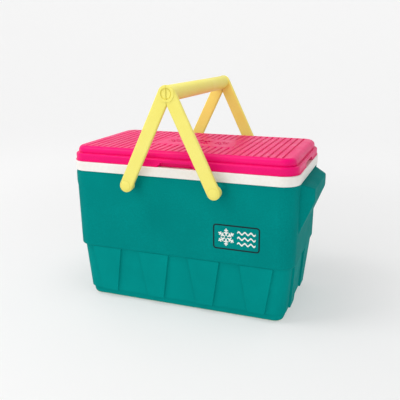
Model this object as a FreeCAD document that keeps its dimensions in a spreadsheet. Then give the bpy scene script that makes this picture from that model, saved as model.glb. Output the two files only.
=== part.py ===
"""Ice chest: a moulded, insulated box with a lift-off lid and two swing-up bail handles.

Frame: millimetres, origin at the bottom centre of the base, +X along the long side, -Y the front, +Z up.
The handles stand at rest with their half-round grips meeting above the lid, on the plane X = 0.
"""

import FreeCAD, Part
import math
import os
import re

import Sketcher

# Driving dimensions: name, value in millimetres, meaning.
DIMENSIONS = [
    ("shell_top_length", 443.0, "shell under the rim, along X"),
    ("shell_top_width", 245.0, "shell under the rim, along Y"),
    ("shell_step_length", 440.0, "upper wall where it steps in, along X"),
    ("shell_step_width", 241.0, "upper wall where it steps in, along Y"),
    ("shell_corner", 31.5, "plan corner radius of the upper wall"),
    ("shell_wall", 3.0, "wall thickness of the shell"),
    ("step_level", 113.0, "height of the step below the upper wall"),
    ("lip_height", 3.0, "height of the sloped lip at the step"),
    ("lip_inset", 2.0, "how far the lip slopes in"),
    ("lower_top_length", 428.0, "recessed lower wall at the step, along X"),
    ("lower_top_width", 230.0, "recessed lower wall at the step, along Y"),
    ("lower_top_corner", 27.0, "plan corner radius there"),
    ("lower_bottom_length", 412.0, "recessed lower wall at the base band, along X"),
    ("lower_bottom_width", 217.0, "recessed lower wall at the base band, along Y"),
    ("lower_bottom_corner", 22.0, "plan corner radius there"),
    ("band_top", 18.0, "height of the inset base band"),
    ("band_length", 404.0, "base band, along X"),
    ("band_width", 209.0, "base band, along Y"),
    ("band_corner", 19.0, "plan corner radius of the base band"),
    ("base_round", 7.0, "rounding of the bottom edge"),
    ("panel_pitch", 102.0, "spacing of the raised wall panels"),
    ("panel_top_width", 65.0, "raised panel just under the step"),
    ("panel_bottom_width", 34.0, "raised panel at the base band"),
    ("panel_proud", 3.5, "how far a panel stands out at its foot"),
    ("panel_shy", 1.2, "how far a panel's head stays inside the upper wall"),
    ("tongue_top", 281.0, "top of the shell's edge inside the rim"),
    ("tongue_step", 1.5, "step from the wall to that edge"),
    ("ledge_root", 219.0, "plane inside the end wall that the grip ledge starts from"),
    ("ledge_reach", 244.5, "outermost face of the grip ledge"),
    ("ledge_root_width", 170.0, "ledge at the wall, along Y"),
    ("ledge_root_low", 167.0, "foot of the ledge at the wall"),
    ("ledge_root_high", 265.0, "head of the ledge at the wall"),
    ("ledge_lip_width", 136.0, "ledge at its lip, along Y"),
    ("ledge_lip_low", 230.0, "bottom of the ledge's lip"),
    ("ledge_lip_high", 254.0, "top of the ledge's lip"),
    ("ledge_round", 3.0, "rounding of the ledge's lip"),
    ("rim_length", 446.0, "white rim, along X"),
    ("rim_width", 248.0, "white rim, along Y"),
    ("rim_corner", 33.0, "plan corner radius of the rim"),
    ("rim_low", 267.0, "bottom edge of the rim"),
    ("rim_high", 285.0, "top face of the rim"),
    ("rim_wall", 2.5, "wall thickness of the rim's skirt"),
    ("rim_deck", 3.0, "thickness of the rim's top"),
    ("rim_round", 2.0, "rounding of the rim's edges"),
    ("mouth_length", 399.0, "inside of the liner at the top, along X"),
    ("mouth_width", 201.0, "inside of the liner at the top, along Y"),
    ("mouth_corner", 28.0, "plan corner radius there"),
    ("floor_length", 385.0, "inside of the liner at its floor, along X"),
    ("floor_width", 187.0, "inside of the liner at its floor, along Y"),
    ("floor_corner", 24.0, "plan corner radius there"),
    ("floor_level", 28.0, "height of the liner's floor"),
    ("floor_round", 10.0, "rounding where the floor meets the walls"),
    ("liner_wall", 2.5, "wall thickness of the liner"),
    ("lid_gap", 0.3, "gap between the closed lid and the rim"),
    ("lid_length", 444.0, "lid's lower band, along X"),
    ("lid_width", 246.0, "lid's lower band, along Y"),
    ("lid_corner", 32.0, "plan corner radius of the lid"),
    ("band_high", 300.0, "top of the lid's lower band"),
    ("lid_band_round", 4.5, "rounding of the band's top edge"),
    ("slab_inset", 6.5, "step from the lid's band to its top slab"),
    ("lid_high", 314.0, "top face of the lid"),
    ("slab_round", 8.0, "rounding of the top slab's edge"),
    ("lid_wall", 3.0, "wall thickness of the lid"),
    ("notch_low_width", 72.0, "finger notch at the lid's lower edge"),
    ("notch_high_width", 58.0, "finger notch at its top"),
    ("notch_height", 8.0, "height of the finger notch"),
    ("notch_depth", 8.0, "depth of the finger notch"),
    ("notch_wall", 2.5, "wall around the finger notch"),
    ("pan_clearance", 0.4, "gap between the lid pan's edge and the lid's skirt"),
    ("pan_wall", 2.5, "wall thickness of the lid pan"),
    ("plug_length", 394.0, "plug under the lid, along X"),
    ("plug_width", 196.0, "plug under the lid, along Y"),
    ("plug_corner", 26.0, "plan corner radius of the plug"),
    ("plug_low", 270.0, "underside of the plug"),
    ("pivot_offset", 84.0, "handle pivots, along X from the middle"),
    ("pivot_height", 254.0, "height of the handle pivots"),
    ("post_radius", 11.0, "collar of the pivot post on the long wall"),
    ("post_face", 142.3, "outer face of the post, from the middle"),
    ("post_seat", 122.6, "where the post's collar seats on the wall, from the middle"),
    ("spigot_radius", 8.5, "spigot of the post, through the wall"),
    ("spigot_inner", 117.5, "inner end of the spigot, from the middle"),
    ("arm_face", 157.0, "outer face of a handle arm, from the middle"),
    ("arm_thickness", 8.0, "thickness of a handle arm"),
    ("arm_end_radius", 12.2, "rounded end of an arm, half of its width"),
    ("arm_round", 2.5, "rounding of an arm's outer edges"),
    ("apex_height", 401.0, "height where the two handles' arms meet"),
    ("grip_height", 421.0, "height of the grip's centre"),
    ("grip_radius", 14.0, "radius of the grip that the two halves make"),
    ("grip_wall", 3.0, "wall thickness of a half grip"),
    ("rib_thickness", 2.0, "ribs inside a half grip"),
    ("seam_gap", 0.15, "gap from each half grip to the middle plane"),
    ("ring_radius", 14.8, "raised ring on the grip's end"),
    ("ring_height", 1.2, "how far that ring stands out"),
    ("recess_radius", 10.0, "round recess in the ring"),
    ("recess_depth", 4.2, "depth of that recess from the ring's face"),
    ("pin_radius", 4.0, "pivot pin"),
    ("pin_outer", 154.0, "outer end of the pin, blind in the arm"),
    ("pin_inner", 112.0, "inner end of the pin"),
    ("pin_chamfer", 0.6, "chamfer on the pin's ends"),
    ("running_gap", 0.08, "radial running clearance of the pin in its bush"),
    ("flange_radius", 11.5, "flange of the pivot bush"),
    ("flange_gap", 0.3, "gap between the bush's flange and the arm"),
    ("sleeve_radius", 6.5, "sleeve of the pivot bush, pressed in the post"),
    ("sleeve_inner", 117.0, "inner end of the sleeve, from the middle"),
    ("clip_radius", 8.0, "retaining clip on the pin's inner end"),
    ("clip_thickness", 0.8, "thickness of the clip"),
    ("clip_gap", 0.3, "gap between the clip and the sleeve"),
    ("pocket_radius", 10.0, "pocket in the foam around the pin's inner end"),
    ("pocket_inner", 108.0, "inner end of that pocket, from the middle"),
]

RIBS_PER_GRIP = 5
LEFT, RIGHT = -1, 1
FRONT, REAR = -1, 1
CORNERS = [(side_x, side_y) for side_x in (LEFT, RIGHT) for side_y in (FRONT, REAR)]

doc = FreeCAD.newDocument("ice_chest")
sheet = doc.addObject("Spreadsheet::Sheet", "Sizes")
for row, (alias, size, meaning) in enumerate(DIMENSIONS, start=1):
    sheet.set(f"A{row}", alias)
    sheet.set(f"B{row}", str(size))
    sheet.set(f"C{row}", meaning)
    sheet.setAlias(f"B{row}", alias)
doc.recompute()
ALIASES = {alias for alias, size, meaning in DIMENSIONS}


# ---- binding sizes to the sheet ----

def on_sheet(expression):
    """Writes an expression of size names as FreeCAD reads it, with the sheet's name before each."""
    return re.sub(r"[a-z_]+", lambda word: f"Sizes.{word[0]}" if word[0] in ALIASES else word[0], expression)


def value(expression):
    """Present value of an expression of size names."""
    return float(sheet.evalExpression(on_sheet(expression)))


def bind(target, name, expression):
    target.setExpression(name, on_sheet(expression))


# ---- bodies, sketches and features ----

def new_body(label):
    body = doc.addObject("PartDesign::Body", label)
    body.Label = label
    return body


def sketch_on(body, name, role, offset="0"):
    """A sketch on one of the body's origin planes, moved along that plane's normal."""
    sketch = body.newObject("Sketcher::SketchObject", name)
    plane = next(item for item in body.Origin.OriginFeatures if item.Role == role)
    sketch.AttachmentSupport = [(plane, "")]
    sketch.MapMode = "FlatFace"
    bind(sketch, "AttachmentOffset.Base.z", offset)
    return sketch


def constrain(sketch, kind, *references, size=None):
    """Adds a constraint; one with a size is bound to the sheet."""
    if size is None:
        return sketch.addConstraint(Sketcher.Constraint(kind, *references))
    index = sketch.addConstraint(Sketcher.Constraint(kind, *references, value(size)))
    bind(sketch, f"Constraints[{index}]", size)
    return index


def pin_point(sketch, geometry, point, x, y):
    """Fixes a point of the sketch at the coordinates that two expressions give."""
    constrain(sketch, "DistanceX", -1, 1, geometry, point, size=x)
    constrain(sketch, "DistanceY", -1, 1, geometry, point, size=y)


def vector(x, y):
    return FreeCAD.Vector(x, y, 0)


def arc(centre, radius, start, end):
    """Anticlockwise arc between two angles in degrees."""
    circle = Part.Circle(centre, FreeCAD.Vector(0, 0, 1), radius)
    return Part.ArcOfCircle(circle, math.radians(start), math.radians(end))


def polygon(sketch, corners):
    """Closed outline of straight sides, each corner a pair of expressions."""
    points = [vector(value(x), value(y)) for x, y in corners]
    for start, end in zip(points, points[1:] + points[:1]):
        sketch.addGeometry(Part.LineSegment(start, end))
    for index, (x, y) in enumerate(corners):
        constrain(sketch, "Coincident", index, 2, (index + 1) % len(corners), 1)
        pin_point(sketch, index, 1, x, y)
    return sketch


def box_outline(sketch, centre_x, centre_y, length, width):
    """Rectangle about a centre."""
    half_x, half_y = f"({length}) / 2", f"({width}) / 2"
    signs = ((-1, -1), (1, -1), (1, 1), (-1, 1))
    corners = [(f"{centre_x} + {a} * {half_x}", f"{centre_y} + {b} * {half_y}") for a, b in signs]
    return polygon(sketch, corners)


def rounded_rectangle(sketch, length, width, radius):
    """Rectangle about the sketch's origin with four equal corner arcs."""
    half_x, half_y, r = value(length) / 2, value(width) / 2, value(radius)
    for quarter, (side_x, side_y) in enumerate(((1, 1), (-1, 1), (-1, -1), (1, -1))):
        centre = vector(side_x * (half_x - r), side_y * (half_y - r))
        sketch.addGeometry(arc(centre, r, 90 * quarter, 90 * quarter + 90))
    for quarter in range(4):
        following = (quarter + 1) % 4
        start = sketch.Geometry[quarter].EndPoint
        end = sketch.Geometry[following].StartPoint
        side = sketch.addGeometry(Part.LineSegment(start, end))
        constrain(sketch, "Tangent", quarter, 2, side, 1)
        constrain(sketch, "Tangent", side, 2, following, 1)
        constrain(sketch, "Horizontal" if quarter % 2 == 0 else "Vertical", side)
    for quarter in (1, 2, 3):
        constrain(sketch, "Equal", 0, quarter)
    constrain(sketch, "Radius", 0, size=radius)
    constrain(sketch, "Symmetric", 0, 3, 2, 3, -1, 1)
    constrain(sketch, "DistanceX", 5, 1, 7, 1, size=length)
    constrain(sketch, "DistanceY", 6, 1, 4, 1, size=width)
    return sketch


def disc(sketch, centre_x, centre_y, radius):
    circle = Part.Circle(vector(value(centre_x), value(centre_y)), FreeCAD.Vector(0, 0, 1), value(radius))
    sketch.addGeometry(circle)
    constrain(sketch, "Radius", 0, size=radius)
    pin_point(sketch, 0, 3, centre_x, centre_y)
    return sketch


def half_disc(sketch, flat_x, centre_y, radius):
    """Half disc whose flat is upright and whose round side faces -x."""
    centre, r = vector(value(flat_x), value(centre_y)), value(radius)
    sketch.addGeometry(arc(centre, r, 90, 270))
    sketch.addGeometry(Part.LineSegment(centre - vector(0, r), centre + vector(0, r)))
    constrain(sketch, "Coincident", 0, 2, 1, 1)
    constrain(sketch, "Coincident", 1, 2, 0, 1)
    constrain(sketch, "Vertical", 1)
    constrain(sketch, "PointOnObject", 0, 3, 1)
    constrain(sketch, "Radius", 0, size=radius)
    pin_point(sketch, 0, 3, flat_x, centre_y)
    return sketch


def loft(body, name, first, second, cut=False):
    """Straight-sided loft between two sketches, added to the body or cut from it."""
    feature = body.newObject("PartDesign::SubtractiveLoft" if cut else "PartDesign::AdditiveLoft", name)
    feature.Profile = first
    feature.Sections = [second]
    feature.Ruled = True
    return checked(body, feature, cut)


def box_loft(body, name, low, high, cut=False):
    """Loft between two level rounded rectangles, each (height, length, width, corner radius)."""
    ends = []
    for tail, (level, length, width, radius) in (("low", low), ("high", high)):
        sketch = sketch_on(body, f"{name}_{tail}", "XY_Plane", level)
        ends.append(rounded_rectangle(sketch, length, width, radius))
    return loft(body, name, *ends, cut=cut)


def prism(body, name, section, top, cut=False):
    """Upright prism of a rounded rectangle (height, length, width, corner radius), up to a height."""
    level, length, width, radius = section
    sketch = rounded_rectangle(sketch_on(body, f"{name}_outline", "XY_Plane", level), length, width, radius)
    return extrude(body, name, sketch, f"{top} - ({level})", cut=cut, reverse=cut)


def extrude(body, name, sketch, length, cut=False, reverse=False):
    """Pad along the sketch's normal, or pocket against it; reverse turns either round."""
    feature = body.newObject("PartDesign::Pocket" if cut else "PartDesign::Pad", name)
    feature.Profile = sketch
    feature.Reversed = reverse
    bind(feature, "Length", length)
    return checked(body, feature, cut)


def checked(body, feature, cut):
    """Recomputes and makes sure that the feature changed the body's volume the right way."""
    before = body.Shape.Volume if not body.Shape.isNull() else 0.0
    doc.recompute()
    change = body.Shape.Volume - before
    if change == 0 or (change > 0) == cut:
        raise RuntimeError(f"{feature.Name} changed {body.Label} by {change:.1f} cubic millimetres")
    return feature


def round_edges(body, name, base, radius, chosen, adds=False):
    """Fillet of the base feature's edges that the test picks out; in an inside corner it adds material."""
    edges = [f"Edge{n}" for n, edge in enumerate(base.Shape.Edges, start=1) if chosen(edge.BoundBox)]
    feature = body.newObject("PartDesign::Fillet", name)
    feature.Base = (base, edges)
    bind(feature, "Radius", radius)
    return checked(body, feature, not adds)


def level_at(expression, axis="Z", side=1):
    """Test for edges that lie wholly in one plane across an axis."""
    place = side * value(expression)

    def test(bounds):
        low, high = getattr(bounds, f"{axis}Min"), getattr(bounds, f"{axis}Max")
        return abs(low - place) < 0.01 and abs(high - place) < 0.01

    return test


def side_name(side_x):
    return "left" if side_x == LEFT else "right"


def end_name(side_y):
    return "front" if side_y == FRONT else "rear"


def corner_name(side_x, side_y):
    return f"{end_name(side_y)}_{side_name(side_x)}"


# ---- sections that neighbouring pieces share ----

UPPER_LOW = ("step_level + lip_height", "shell_step_length", "shell_step_width", "shell_corner")
UPPER_HIGH = ("rim_low", "shell_top_length", "shell_top_width", "shell_corner")
LOWER_LOW = ("band_top", "lower_bottom_length", "lower_bottom_width", "lower_bottom_corner")
LOWER_HIGH = ("step_level", "lower_top_length", "lower_top_width", "lower_top_corner")


def inset(section, depth, level=None):
    """The same outline, smaller by a depth on every side."""
    height, length, width, radius = section
    return (level or height, f"{length} - 2 * {depth}", f"{width} - 2 * {depth}", f"{radius} - {depth}")


BAND_CAVITY = inset(("0", "band_length", "band_width", "band_corner"), "shell_wall", "shell_wall")
SHELL_CAVITY = [
    (inset(LOWER_LOW, "shell_wall", "band_top + shell_wall"),
     inset(LOWER_HIGH, "shell_wall", "step_level + shell_wall")),
    (inset(UPPER_LOW, "shell_wall", "step_level + shell_wall"),
     inset(UPPER_HIGH, "shell_wall", "tongue_top")),
]
BASIN_LOW = ("floor_level", "floor_length", "floor_width", "floor_corner")
BASIN_HIGH = ("rim_high", "mouth_length", "mouth_width", "mouth_corner")
BASIN_OUTER_LOW = ("floor_level - liner_wall", "floor_length + 2 * liner_wall",
                   "floor_width + 2 * liner_wall", "floor_corner + liner_wall")
BASIN_OUTER_HIGH = ("rim_high", "mouth_length + 2 * liner_wall", "mouth_width + 2 * liner_wall",
                    "mouth_corner + liner_wall")
LID_BAND = ("rim_high + lid_gap", "lid_length", "lid_width", "lid_corner")
LID_SLAB = inset(LID_BAND, "slab_inset", "band_high")
PLUG = ("plug_low", "plug_length", "plug_width", "plug_corner")
PAN_TOP = "rim_high + lid_gap + pan_wall"


def raised_to(section, level):
    return (level, *section[1:])


def add_shell_cavity(body, cut):
    """The space inside the shell: cut from the shell, and the outside of the foam."""
    prism(body, "band_cavity", BAND_CAVITY, "band_top + shell_wall", cut=cut)
    for index, (low, high) in enumerate(SHELL_CAVITY):
        box_loft(body, f"cavity_{index}", low, high, cut=cut)
    for side in (LEFT, RIGHT):
        wedge(body, f"ledge_cavity_{side_name(side)}", side, "shell_wall", cut)


def wedge(body, name, side, depth, cut):
    """Grip ledge under the rim at one end: wide at the wall, narrow at the lip, sloped below."""
    root_x = f"{side} * (ledge_root - 2 * {depth})"
    lip_x = f"{side} * (ledge_reach - {depth})"
    root = sketch_on(body, f"{name}_root", "YZ_Plane", root_x)
    lip = sketch_on(body, f"{name}_lip", "YZ_Plane", lip_x)
    for sketch, width, low, high in (
        (root, "ledge_root_width", "ledge_root_low", "ledge_root_high"),
        (lip, "ledge_lip_width", "ledge_lip_low", "ledge_lip_high"),
    ):
        middle = f"({low} + {high}) / 2"
        box_outline(sketch, "0", middle, f"{width} - 2 * {depth}", f"{high} - {low} - 2 * {depth}")
    return loft(body, name, root, lip, cut=cut)


# ---- the box ----

def outer_shell():
    """Coloured shell: walls, step, raised panels, base band, end ledges and holes for the pivot posts."""
    body = new_body("outer_shell")
    box_loft(body, "upper_wall", UPPER_LOW, UPPER_HIGH)
    box_loft(body, "lip", inset(UPPER_LOW, "lip_inset", "step_level"), UPPER_LOW)
    box_loft(body, "lower_wall", LOWER_LOW, LOWER_HIGH)
    base = prism(body, "base_band", ("0", "band_length", "band_width", "band_corner"), "band_top")
    round_edges(body, "base_rounding", base, "base_round", level_at("0"))
    prism(body, "rim_tongue", inset(UPPER_HIGH, "tongue_step"), "tongue_top")
    panels(body)
    for side in (LEFT, RIGHT):
        ledge = wedge(body, f"ledge_{side_name(side)}", side, "0", False)
        round_edges(body, f"ledge_rounding_{side_name(side)}", ledge, "ledge_round",
                    level_at("ledge_reach", "X", side))
    add_shell_cavity(body, cut=True)
    for side_x, side_y in CORNERS:
        name = f"post_hole_{corner_name(side_x, side_y)}"
        sketch = sketch_on(body, f"{name}_outline", "XZ_Plane", f"{-side_y} * post_face")
        disc(sketch, f"{side_x} * pivot_offset", "pivot_height", "spigot_radius")
        extrude(body, name, sketch, "post_face - pocket_inner", cut=True, reverse=side_y == REAR)
    return body


def panels(body):
    """Raised panels, wide at the head: a row of four on front and back, a row of two on the ends."""
    head, foot = "step_level + lip_height", "band_top"
    for index in range(4):
        centre = f"{index - 1.5} * panel_pitch"
        low = sketch_on(body, f"side_panels_{index}_low", "XY_Plane", foot)
        high = sketch_on(body, f"side_panels_{index}_high", "XY_Plane", head)
        box_outline(low, centre, "0", "panel_bottom_width", "lower_bottom_width + 2 * panel_proud")
        box_outline(high, centre, "0", "panel_top_width", "shell_step_width - 2 * panel_shy")
        loft(body, f"side_panels_{index}", low, high)
    for index in range(2):
        centre = f"{index - 0.5} * panel_pitch"
        low = sketch_on(body, f"end_panels_{index}_low", "XY_Plane", foot)
        high = sketch_on(body, f"end_panels_{index}_high", "XY_Plane", head)
        box_outline(low, "0", centre, "lower_bottom_length + 2 * panel_proud", "panel_bottom_width")
        box_outline(high, "0", centre, "shell_step_length - 2 * panel_shy", "panel_top_width")
        loft(body, f"end_panels_{index}", low, high)


def inner_liner():
    """White basin whose rolled rim caps the shell's edge."""
    body = new_body("inner_liner")
    rim = ("rim_low", "rim_length", "rim_width", "rim_corner")
    block = prism(body, "rim_block", rim, "rim_high")

    def outer_edges(bounds):
        return level_at("rim_low")(bounds) or level_at("rim_high")(bounds)

    round_edges(body, "rim_rounding", block, "rim_round", outer_edges)
    prism(body, "rim_hollow", inset(rim, "rim_wall"), "rim_high - rim_deck", cut=True)
    box_loft(body, "basin_outside", BASIN_OUTER_LOW, BASIN_OUTER_HIGH)
    basin = box_loft(body, "basin_inside", BASIN_LOW, BASIN_HIGH, cut=True)

    def floor_edges(bounds):
        inside = bounds.XMax < value("floor_length / 2 + 1") and bounds.XMin > -value("floor_length / 2 + 1")
        return inside and level_at("floor_level")(bounds)

    round_edges(body, "floor_rounding", basin, "floor_round", floor_edges, adds=True)
    return body


def body_insulation():
    """Foam that fills the space between the shell and the liner."""
    body = new_body("body_insulation")
    add_shell_cavity(body, cut=False)
    box_loft(body, "basin_space", BASIN_OUTER_LOW, BASIN_OUTER_HIGH, cut=True)
    for side_x, side_y in CORNERS:
        name = f"pin_pocket_{corner_name(side_x, side_y)}"
        sketch = sketch_on(body, f"{name}_outline", "XZ_Plane", f"{-side_y} * post_face")
        disc(sketch, f"{side_x} * pivot_offset", "pivot_height", "pocket_radius")
        extrude(body, name, sketch, "post_face - pocket_inner", cut=True, reverse=side_y == REAR)
    return body


# ---- the lid ----

NOTCH_SIDES = [
    # name, plane, half size of the lid across that side, sign of the sketch's normal there
    ("front", "XZ_Plane", "lid_width / 2", 1),
    ("rear", "XZ_Plane", "lid_width / 2", -1),
    ("left", "YZ_Plane", "lid_length / 2", -1),
    ("right", "YZ_Plane", "lid_length / 2", 1),
]


def notch_outline(sketch, wall):
    """Trapezoid of a finger notch, grown by a wall on its sides and top."""
    low, high = "rim_high + lid_gap", f"rim_high + lid_gap + notch_height + {wall}"
    half_low, half_high = f"(notch_low_width / 2 + {wall})", f"(notch_high_width / 2 + {wall})"
    return polygon(sketch, [(f"-1 * {half_low}", low), (half_low, low),
                            (half_high, high), (f"-1 * {half_high}", high)])


def lid_cover():
    """Coloured top of the lid: lower band, raised slab and four finger notches."""
    body = new_body("lid_cover")
    band = prism(body, "lid_band", LID_BAND, "band_high")
    round_edges(body, "band_rounding", band, "lid_band_round", level_at("band_high"))
    slab = prism(body, "lid_slab", raised_to(LID_SLAB, "band_high - lid_band_round"), "lid_high")
    round_edges(body, "slab_rounding", slab, "slab_round", level_at("lid_high"))
    for name, section, top in lid_hollows():
        prism(body, name, section, top, cut=True)
    for name, plane, half, sign in NOTCH_SIDES:
        wall = sketch_on(body, f"notch_wall_{name}_outline", plane, f"{sign} * ({half} - lid_wall / 2)")
        extrude(body, f"notch_wall_{name}", notch_outline(wall, "notch_wall"),
                "notch_depth + notch_wall - lid_wall / 2", reverse=sign == 1)
        notch = sketch_on(body, f"notch_{name}_outline", plane, f"{sign} * ({half} + 1)")
        extrude(body, f"notch_{name}", notch_outline(notch, "0"), "notch_depth + 1", cut=True,
                reverse=sign == -1)
    return body


def lid_hollows():
    """Space inside the lid cover, as (name, section, top)."""
    return [
        ("band_hollow", inset(LID_BAND, "lid_wall"), "band_high - lid_wall"),
        ("slab_hollow", inset(LID_SLAB, "lid_wall", "band_high - lid_wall"), "lid_high - lid_wall"),
    ]


def cut_notch_spaces(body):
    """Clears the finger notches and their walls out of a piece that lies behind them."""
    for name, plane, half, sign in NOTCH_SIDES:
        sketch = sketch_on(body, f"notch_space_{name}_outline", plane, f"{sign} * ({half} + 1)")
        extrude(body, f"notch_space_{name}", notch_outline(sketch, "notch_wall"),
                "notch_depth + notch_wall + 1", cut=True, reverse=sign == -1)


def lid_pan():
    """White underside of the lid: a plate with a plug that drops into the liner's mouth."""
    body = new_body("lid_pan")
    prism(body, "pan_plate", inset(LID_BAND, "(lid_wall + pan_clearance)"), PAN_TOP)
    prism(body, "plug_outside", PLUG, PAN_TOP)
    prism(body, "plug_hollow", inset(PLUG, "pan_wall", "plug_low + pan_wall"), PAN_TOP, cut=True)
    cut_notch_spaces(body)
    return body


def lid_insulation():
    """Foam between the lid cover and the lid pan."""
    body = new_body("lid_insulation")
    (band_name, band, band_top), (slab_name, slab, slab_top) = lid_hollows()
    prism(body, "band_foam", raised_to(band, PAN_TOP), band_top)
    prism(body, "slab_foam", slab, slab_top)
    prism(body, "plug_foam", inset(PLUG, "pan_wall", "plug_low + pan_wall"), PAN_TOP)
    cut_notch_spaces(body)
    return body


# ---- the handles ----

def arm_outline(sketch):
    """Left handle's arm: round end at the pivot, parallel edges, and a top that meets the middle plane."""
    pivot = vector(-value("pivot_offset"), value("pivot_height"))
    apex = vector(-value("seam_gap"), value("apex_height"))
    top = value("grip_height + grip_radius")
    r = value("arm_end_radius")
    reach = apex - pivot
    lean = math.degrees(math.atan2(reach.y, reach.x) + math.asin(r / reach.Length))
    along = vector(math.cos(math.radians(lean)), math.sin(math.radians(lean)))
    across = vector(-along.y, along.x)
    outer_offset = across.dot(pivot) + r
    # the top arc touches the outer edge and is level where it meets the middle plane
    top_radius = (outer_offset - across.dot(vector(apex.x, top))) / (1 - across.y)
    top_centre = vector(apex.x, top - top_radius)
    sketch.addGeometry(arc(top_centre, top_radius, 90, 90 + lean))
    sketch.addGeometry(Part.LineSegment(top_centre + across * top_radius, pivot + across * r))
    sketch.addGeometry(arc(pivot, r, 90 + lean, 270 + lean))
    sketch.addGeometry(Part.LineSegment(pivot - across * r, apex))
    sketch.addGeometry(Part.LineSegment(apex, vector(apex.x, top)))
    constrain(sketch, "Tangent", 0, 2, 1, 1)
    constrain(sketch, "Tangent", 1, 2, 2, 1)
    constrain(sketch, "Tangent", 2, 2, 3, 1)
    constrain(sketch, "Coincident", 3, 2, 4, 1)
    constrain(sketch, "Coincident", 4, 2, 0, 1)
    constrain(sketch, "Parallel", 1, 3)
    constrain(sketch, "Vertical", 4)
    constrain(sketch, "Radius", 2, size="arm_end_radius")
    pin_point(sketch, 2, 3, "-1 * pivot_offset", "pivot_height")
    pin_point(sketch, 4, 1, "-1 * seam_gap", "apex_height")
    constrain(sketch, "DistanceY", -1, 1, 4, 2, size="grip_height + grip_radius")
    constrain(sketch, "DistanceX", -1, 1, 0, 3, size="-1 * seam_gap")
    return sketch


def bail(label, turn):
    """Swing handle: two arms joined by a half-round, hollow grip. Turned half way round for the other."""
    body = new_body(label)
    for side in (FRONT, REAR):
        tail = end_name(side)
        sketch = sketch_on(body, f"arm_{tail}_outline", "XZ_Plane", f"{-side} * (arm_face - arm_thickness)")
        extrude(body, f"arm_{tail}", arm_outline(sketch), "arm_thickness", reverse=side == REAR)
        if side == FRONT:
            join = half_disc(sketch_on(body, "grip_outline", "XZ_Plane", "arm_face - arm_thickness"),
                             "-1 * seam_gap", "grip_height", "grip_radius")
            extrude(body, "grip", join, "2 * (arm_face - arm_thickness)", reverse=True)
    joined = body.Tip

    def outer_edges(bounds):
        face = level_at("arm_face", "Y", FRONT)(bounds) or level_at("arm_face", "Y", REAR)(bounds)
        return face and bounds.XMin < -value("seam_gap") - 0.01

    round_edges(body, "arm_rounding", joined, "arm_round", outer_edges)
    end = sketch_on(body, "grip_hollow_outline", "XZ_Plane", "arm_face - arm_thickness - grip_wall")
    hollow = half_disc(end, "-1 * seam_gap", "grip_height", "grip_radius - grip_wall")
    extrude(body, "grip_hollow", hollow, "2 * (arm_face - arm_thickness - grip_wall)", cut=True)
    spacing = f"2 * (arm_face - arm_thickness) / {RIBS_PER_GRIP + 1}"
    for index in range(RIBS_PER_GRIP):
        place = f"(arm_face - arm_thickness) - {index + 1} * {spacing} + rib_thickness / 2"
        rib = half_disc(sketch_on(body, f"rib_{index}_outline", "XZ_Plane", place),
                        "-1 * seam_gap", "grip_height", "grip_radius - grip_wall / 2")
        extrude(body, f"rib_{index}", rib, "rib_thickness", reverse=True)
    for side in (FRONT, REAR):
        end_details(body, side)
    if turn:
        body.Placement.Rotation = FreeCAD.Rotation(FreeCAD.Vector(0, 0, 1), turn)
    return body


def end_details(body, side):
    """Raised ring and round recess on the grip's end, and the blind bore for the pivot pin."""
    tail = end_name(side)
    ring = half_disc(sketch_on(body, f"ring_{tail}_outline", "XZ_Plane", f"{-side} * arm_face"),
                     "-1 * seam_gap", "grip_height", "ring_radius")
    extrude(body, f"ring_{tail}", ring, "ring_height", reverse=side == REAR)
    face = sketch_on(body, f"recess_{tail}_outline", "XZ_Plane", f"{-side} * (arm_face + ring_height)")
    recess = half_disc(face, "-1 * seam_gap", "grip_height", "recess_radius")
    extrude(body, f"recess_{tail}", recess, "recess_depth", cut=True, reverse=side == REAR)
    back = sketch_on(body, f"pin_bore_{tail}_outline", "XZ_Plane", f"{-side} * (arm_face - arm_thickness)")
    bore = disc(back, "-1 * pivot_offset", "pivot_height", "pin_radius")
    extrude(body, f"pin_bore_{tail}", bore, "pin_outer - arm_face + arm_thickness", cut=True,
            reverse=side == FRONT)


# ---- the pivots: each is modelled along its own Z axis, from its inner end outwards ----

def place_on_pivot(body, side_x, side_y, inner):
    """Lays a piece's own Z axis along a pivot, pointing out of the box."""
    bind(body, "Placement.Base.x", f"{side_x} * pivot_offset")
    bind(body, "Placement.Base.y", f"{side_y} * ({inner})")
    bind(body, "Placement.Base.z", "pivot_height")
    body.Placement.Rotation = FreeCAD.Rotation(FreeCAD.Vector(1, 0, 0), 90 if side_y == FRONT else -90)


def pivot_pin(label, side_x, side_y):
    """Round pin, pressed in the handle's arm and turning in the bush."""
    body = new_body(label)
    outline = disc(sketch_on(body, f"{label}_outline", "XY_Plane"), "0", "0", "pin_radius")
    shank = extrude(body, f"{label}_shank", outline, "pin_outer - pin_inner")
    chamfer = body.newObject("PartDesign::Chamfer", f"{label}_chamfer")
    ends = [f"Edge{n}" for n, edge in enumerate(shank.Shape.Edges, start=1) if len(edge.Vertexes) == 1]
    chamfer.Base = (shank, ends)
    bind(chamfer, "Size", "pin_chamfer")
    place_on_pivot(body, side_x, side_y, "pin_inner")
    return body


def pivot_post(label, side_x, side_y):
    """Collar that stands on the long wall, with a spigot through the wall and a bore for the bush."""
    body = new_body(label)
    spigot = disc(sketch_on(body, f"{label}_spigot_outline", "XY_Plane"), "0", "0", "spigot_radius")
    extrude(body, f"{label}_spigot", spigot, "post_seat - spigot_inner")
    collar = disc(sketch_on(body, f"{label}_collar_outline", "XY_Plane", "post_seat - spigot_inner"),
                  "0", "0", "post_radius")
    extrude(body, f"{label}_collar", collar, "post_face - post_seat")
    bore = disc(sketch_on(body, f"{label}_bore_outline", "XY_Plane"), "0", "0", "sleeve_radius")
    extrude(body, f"{label}_bore", bore, "post_face - spigot_inner", cut=True, reverse=True)
    place_on_pivot(body, side_x, side_y, "spigot_inner")
    return body


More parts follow.
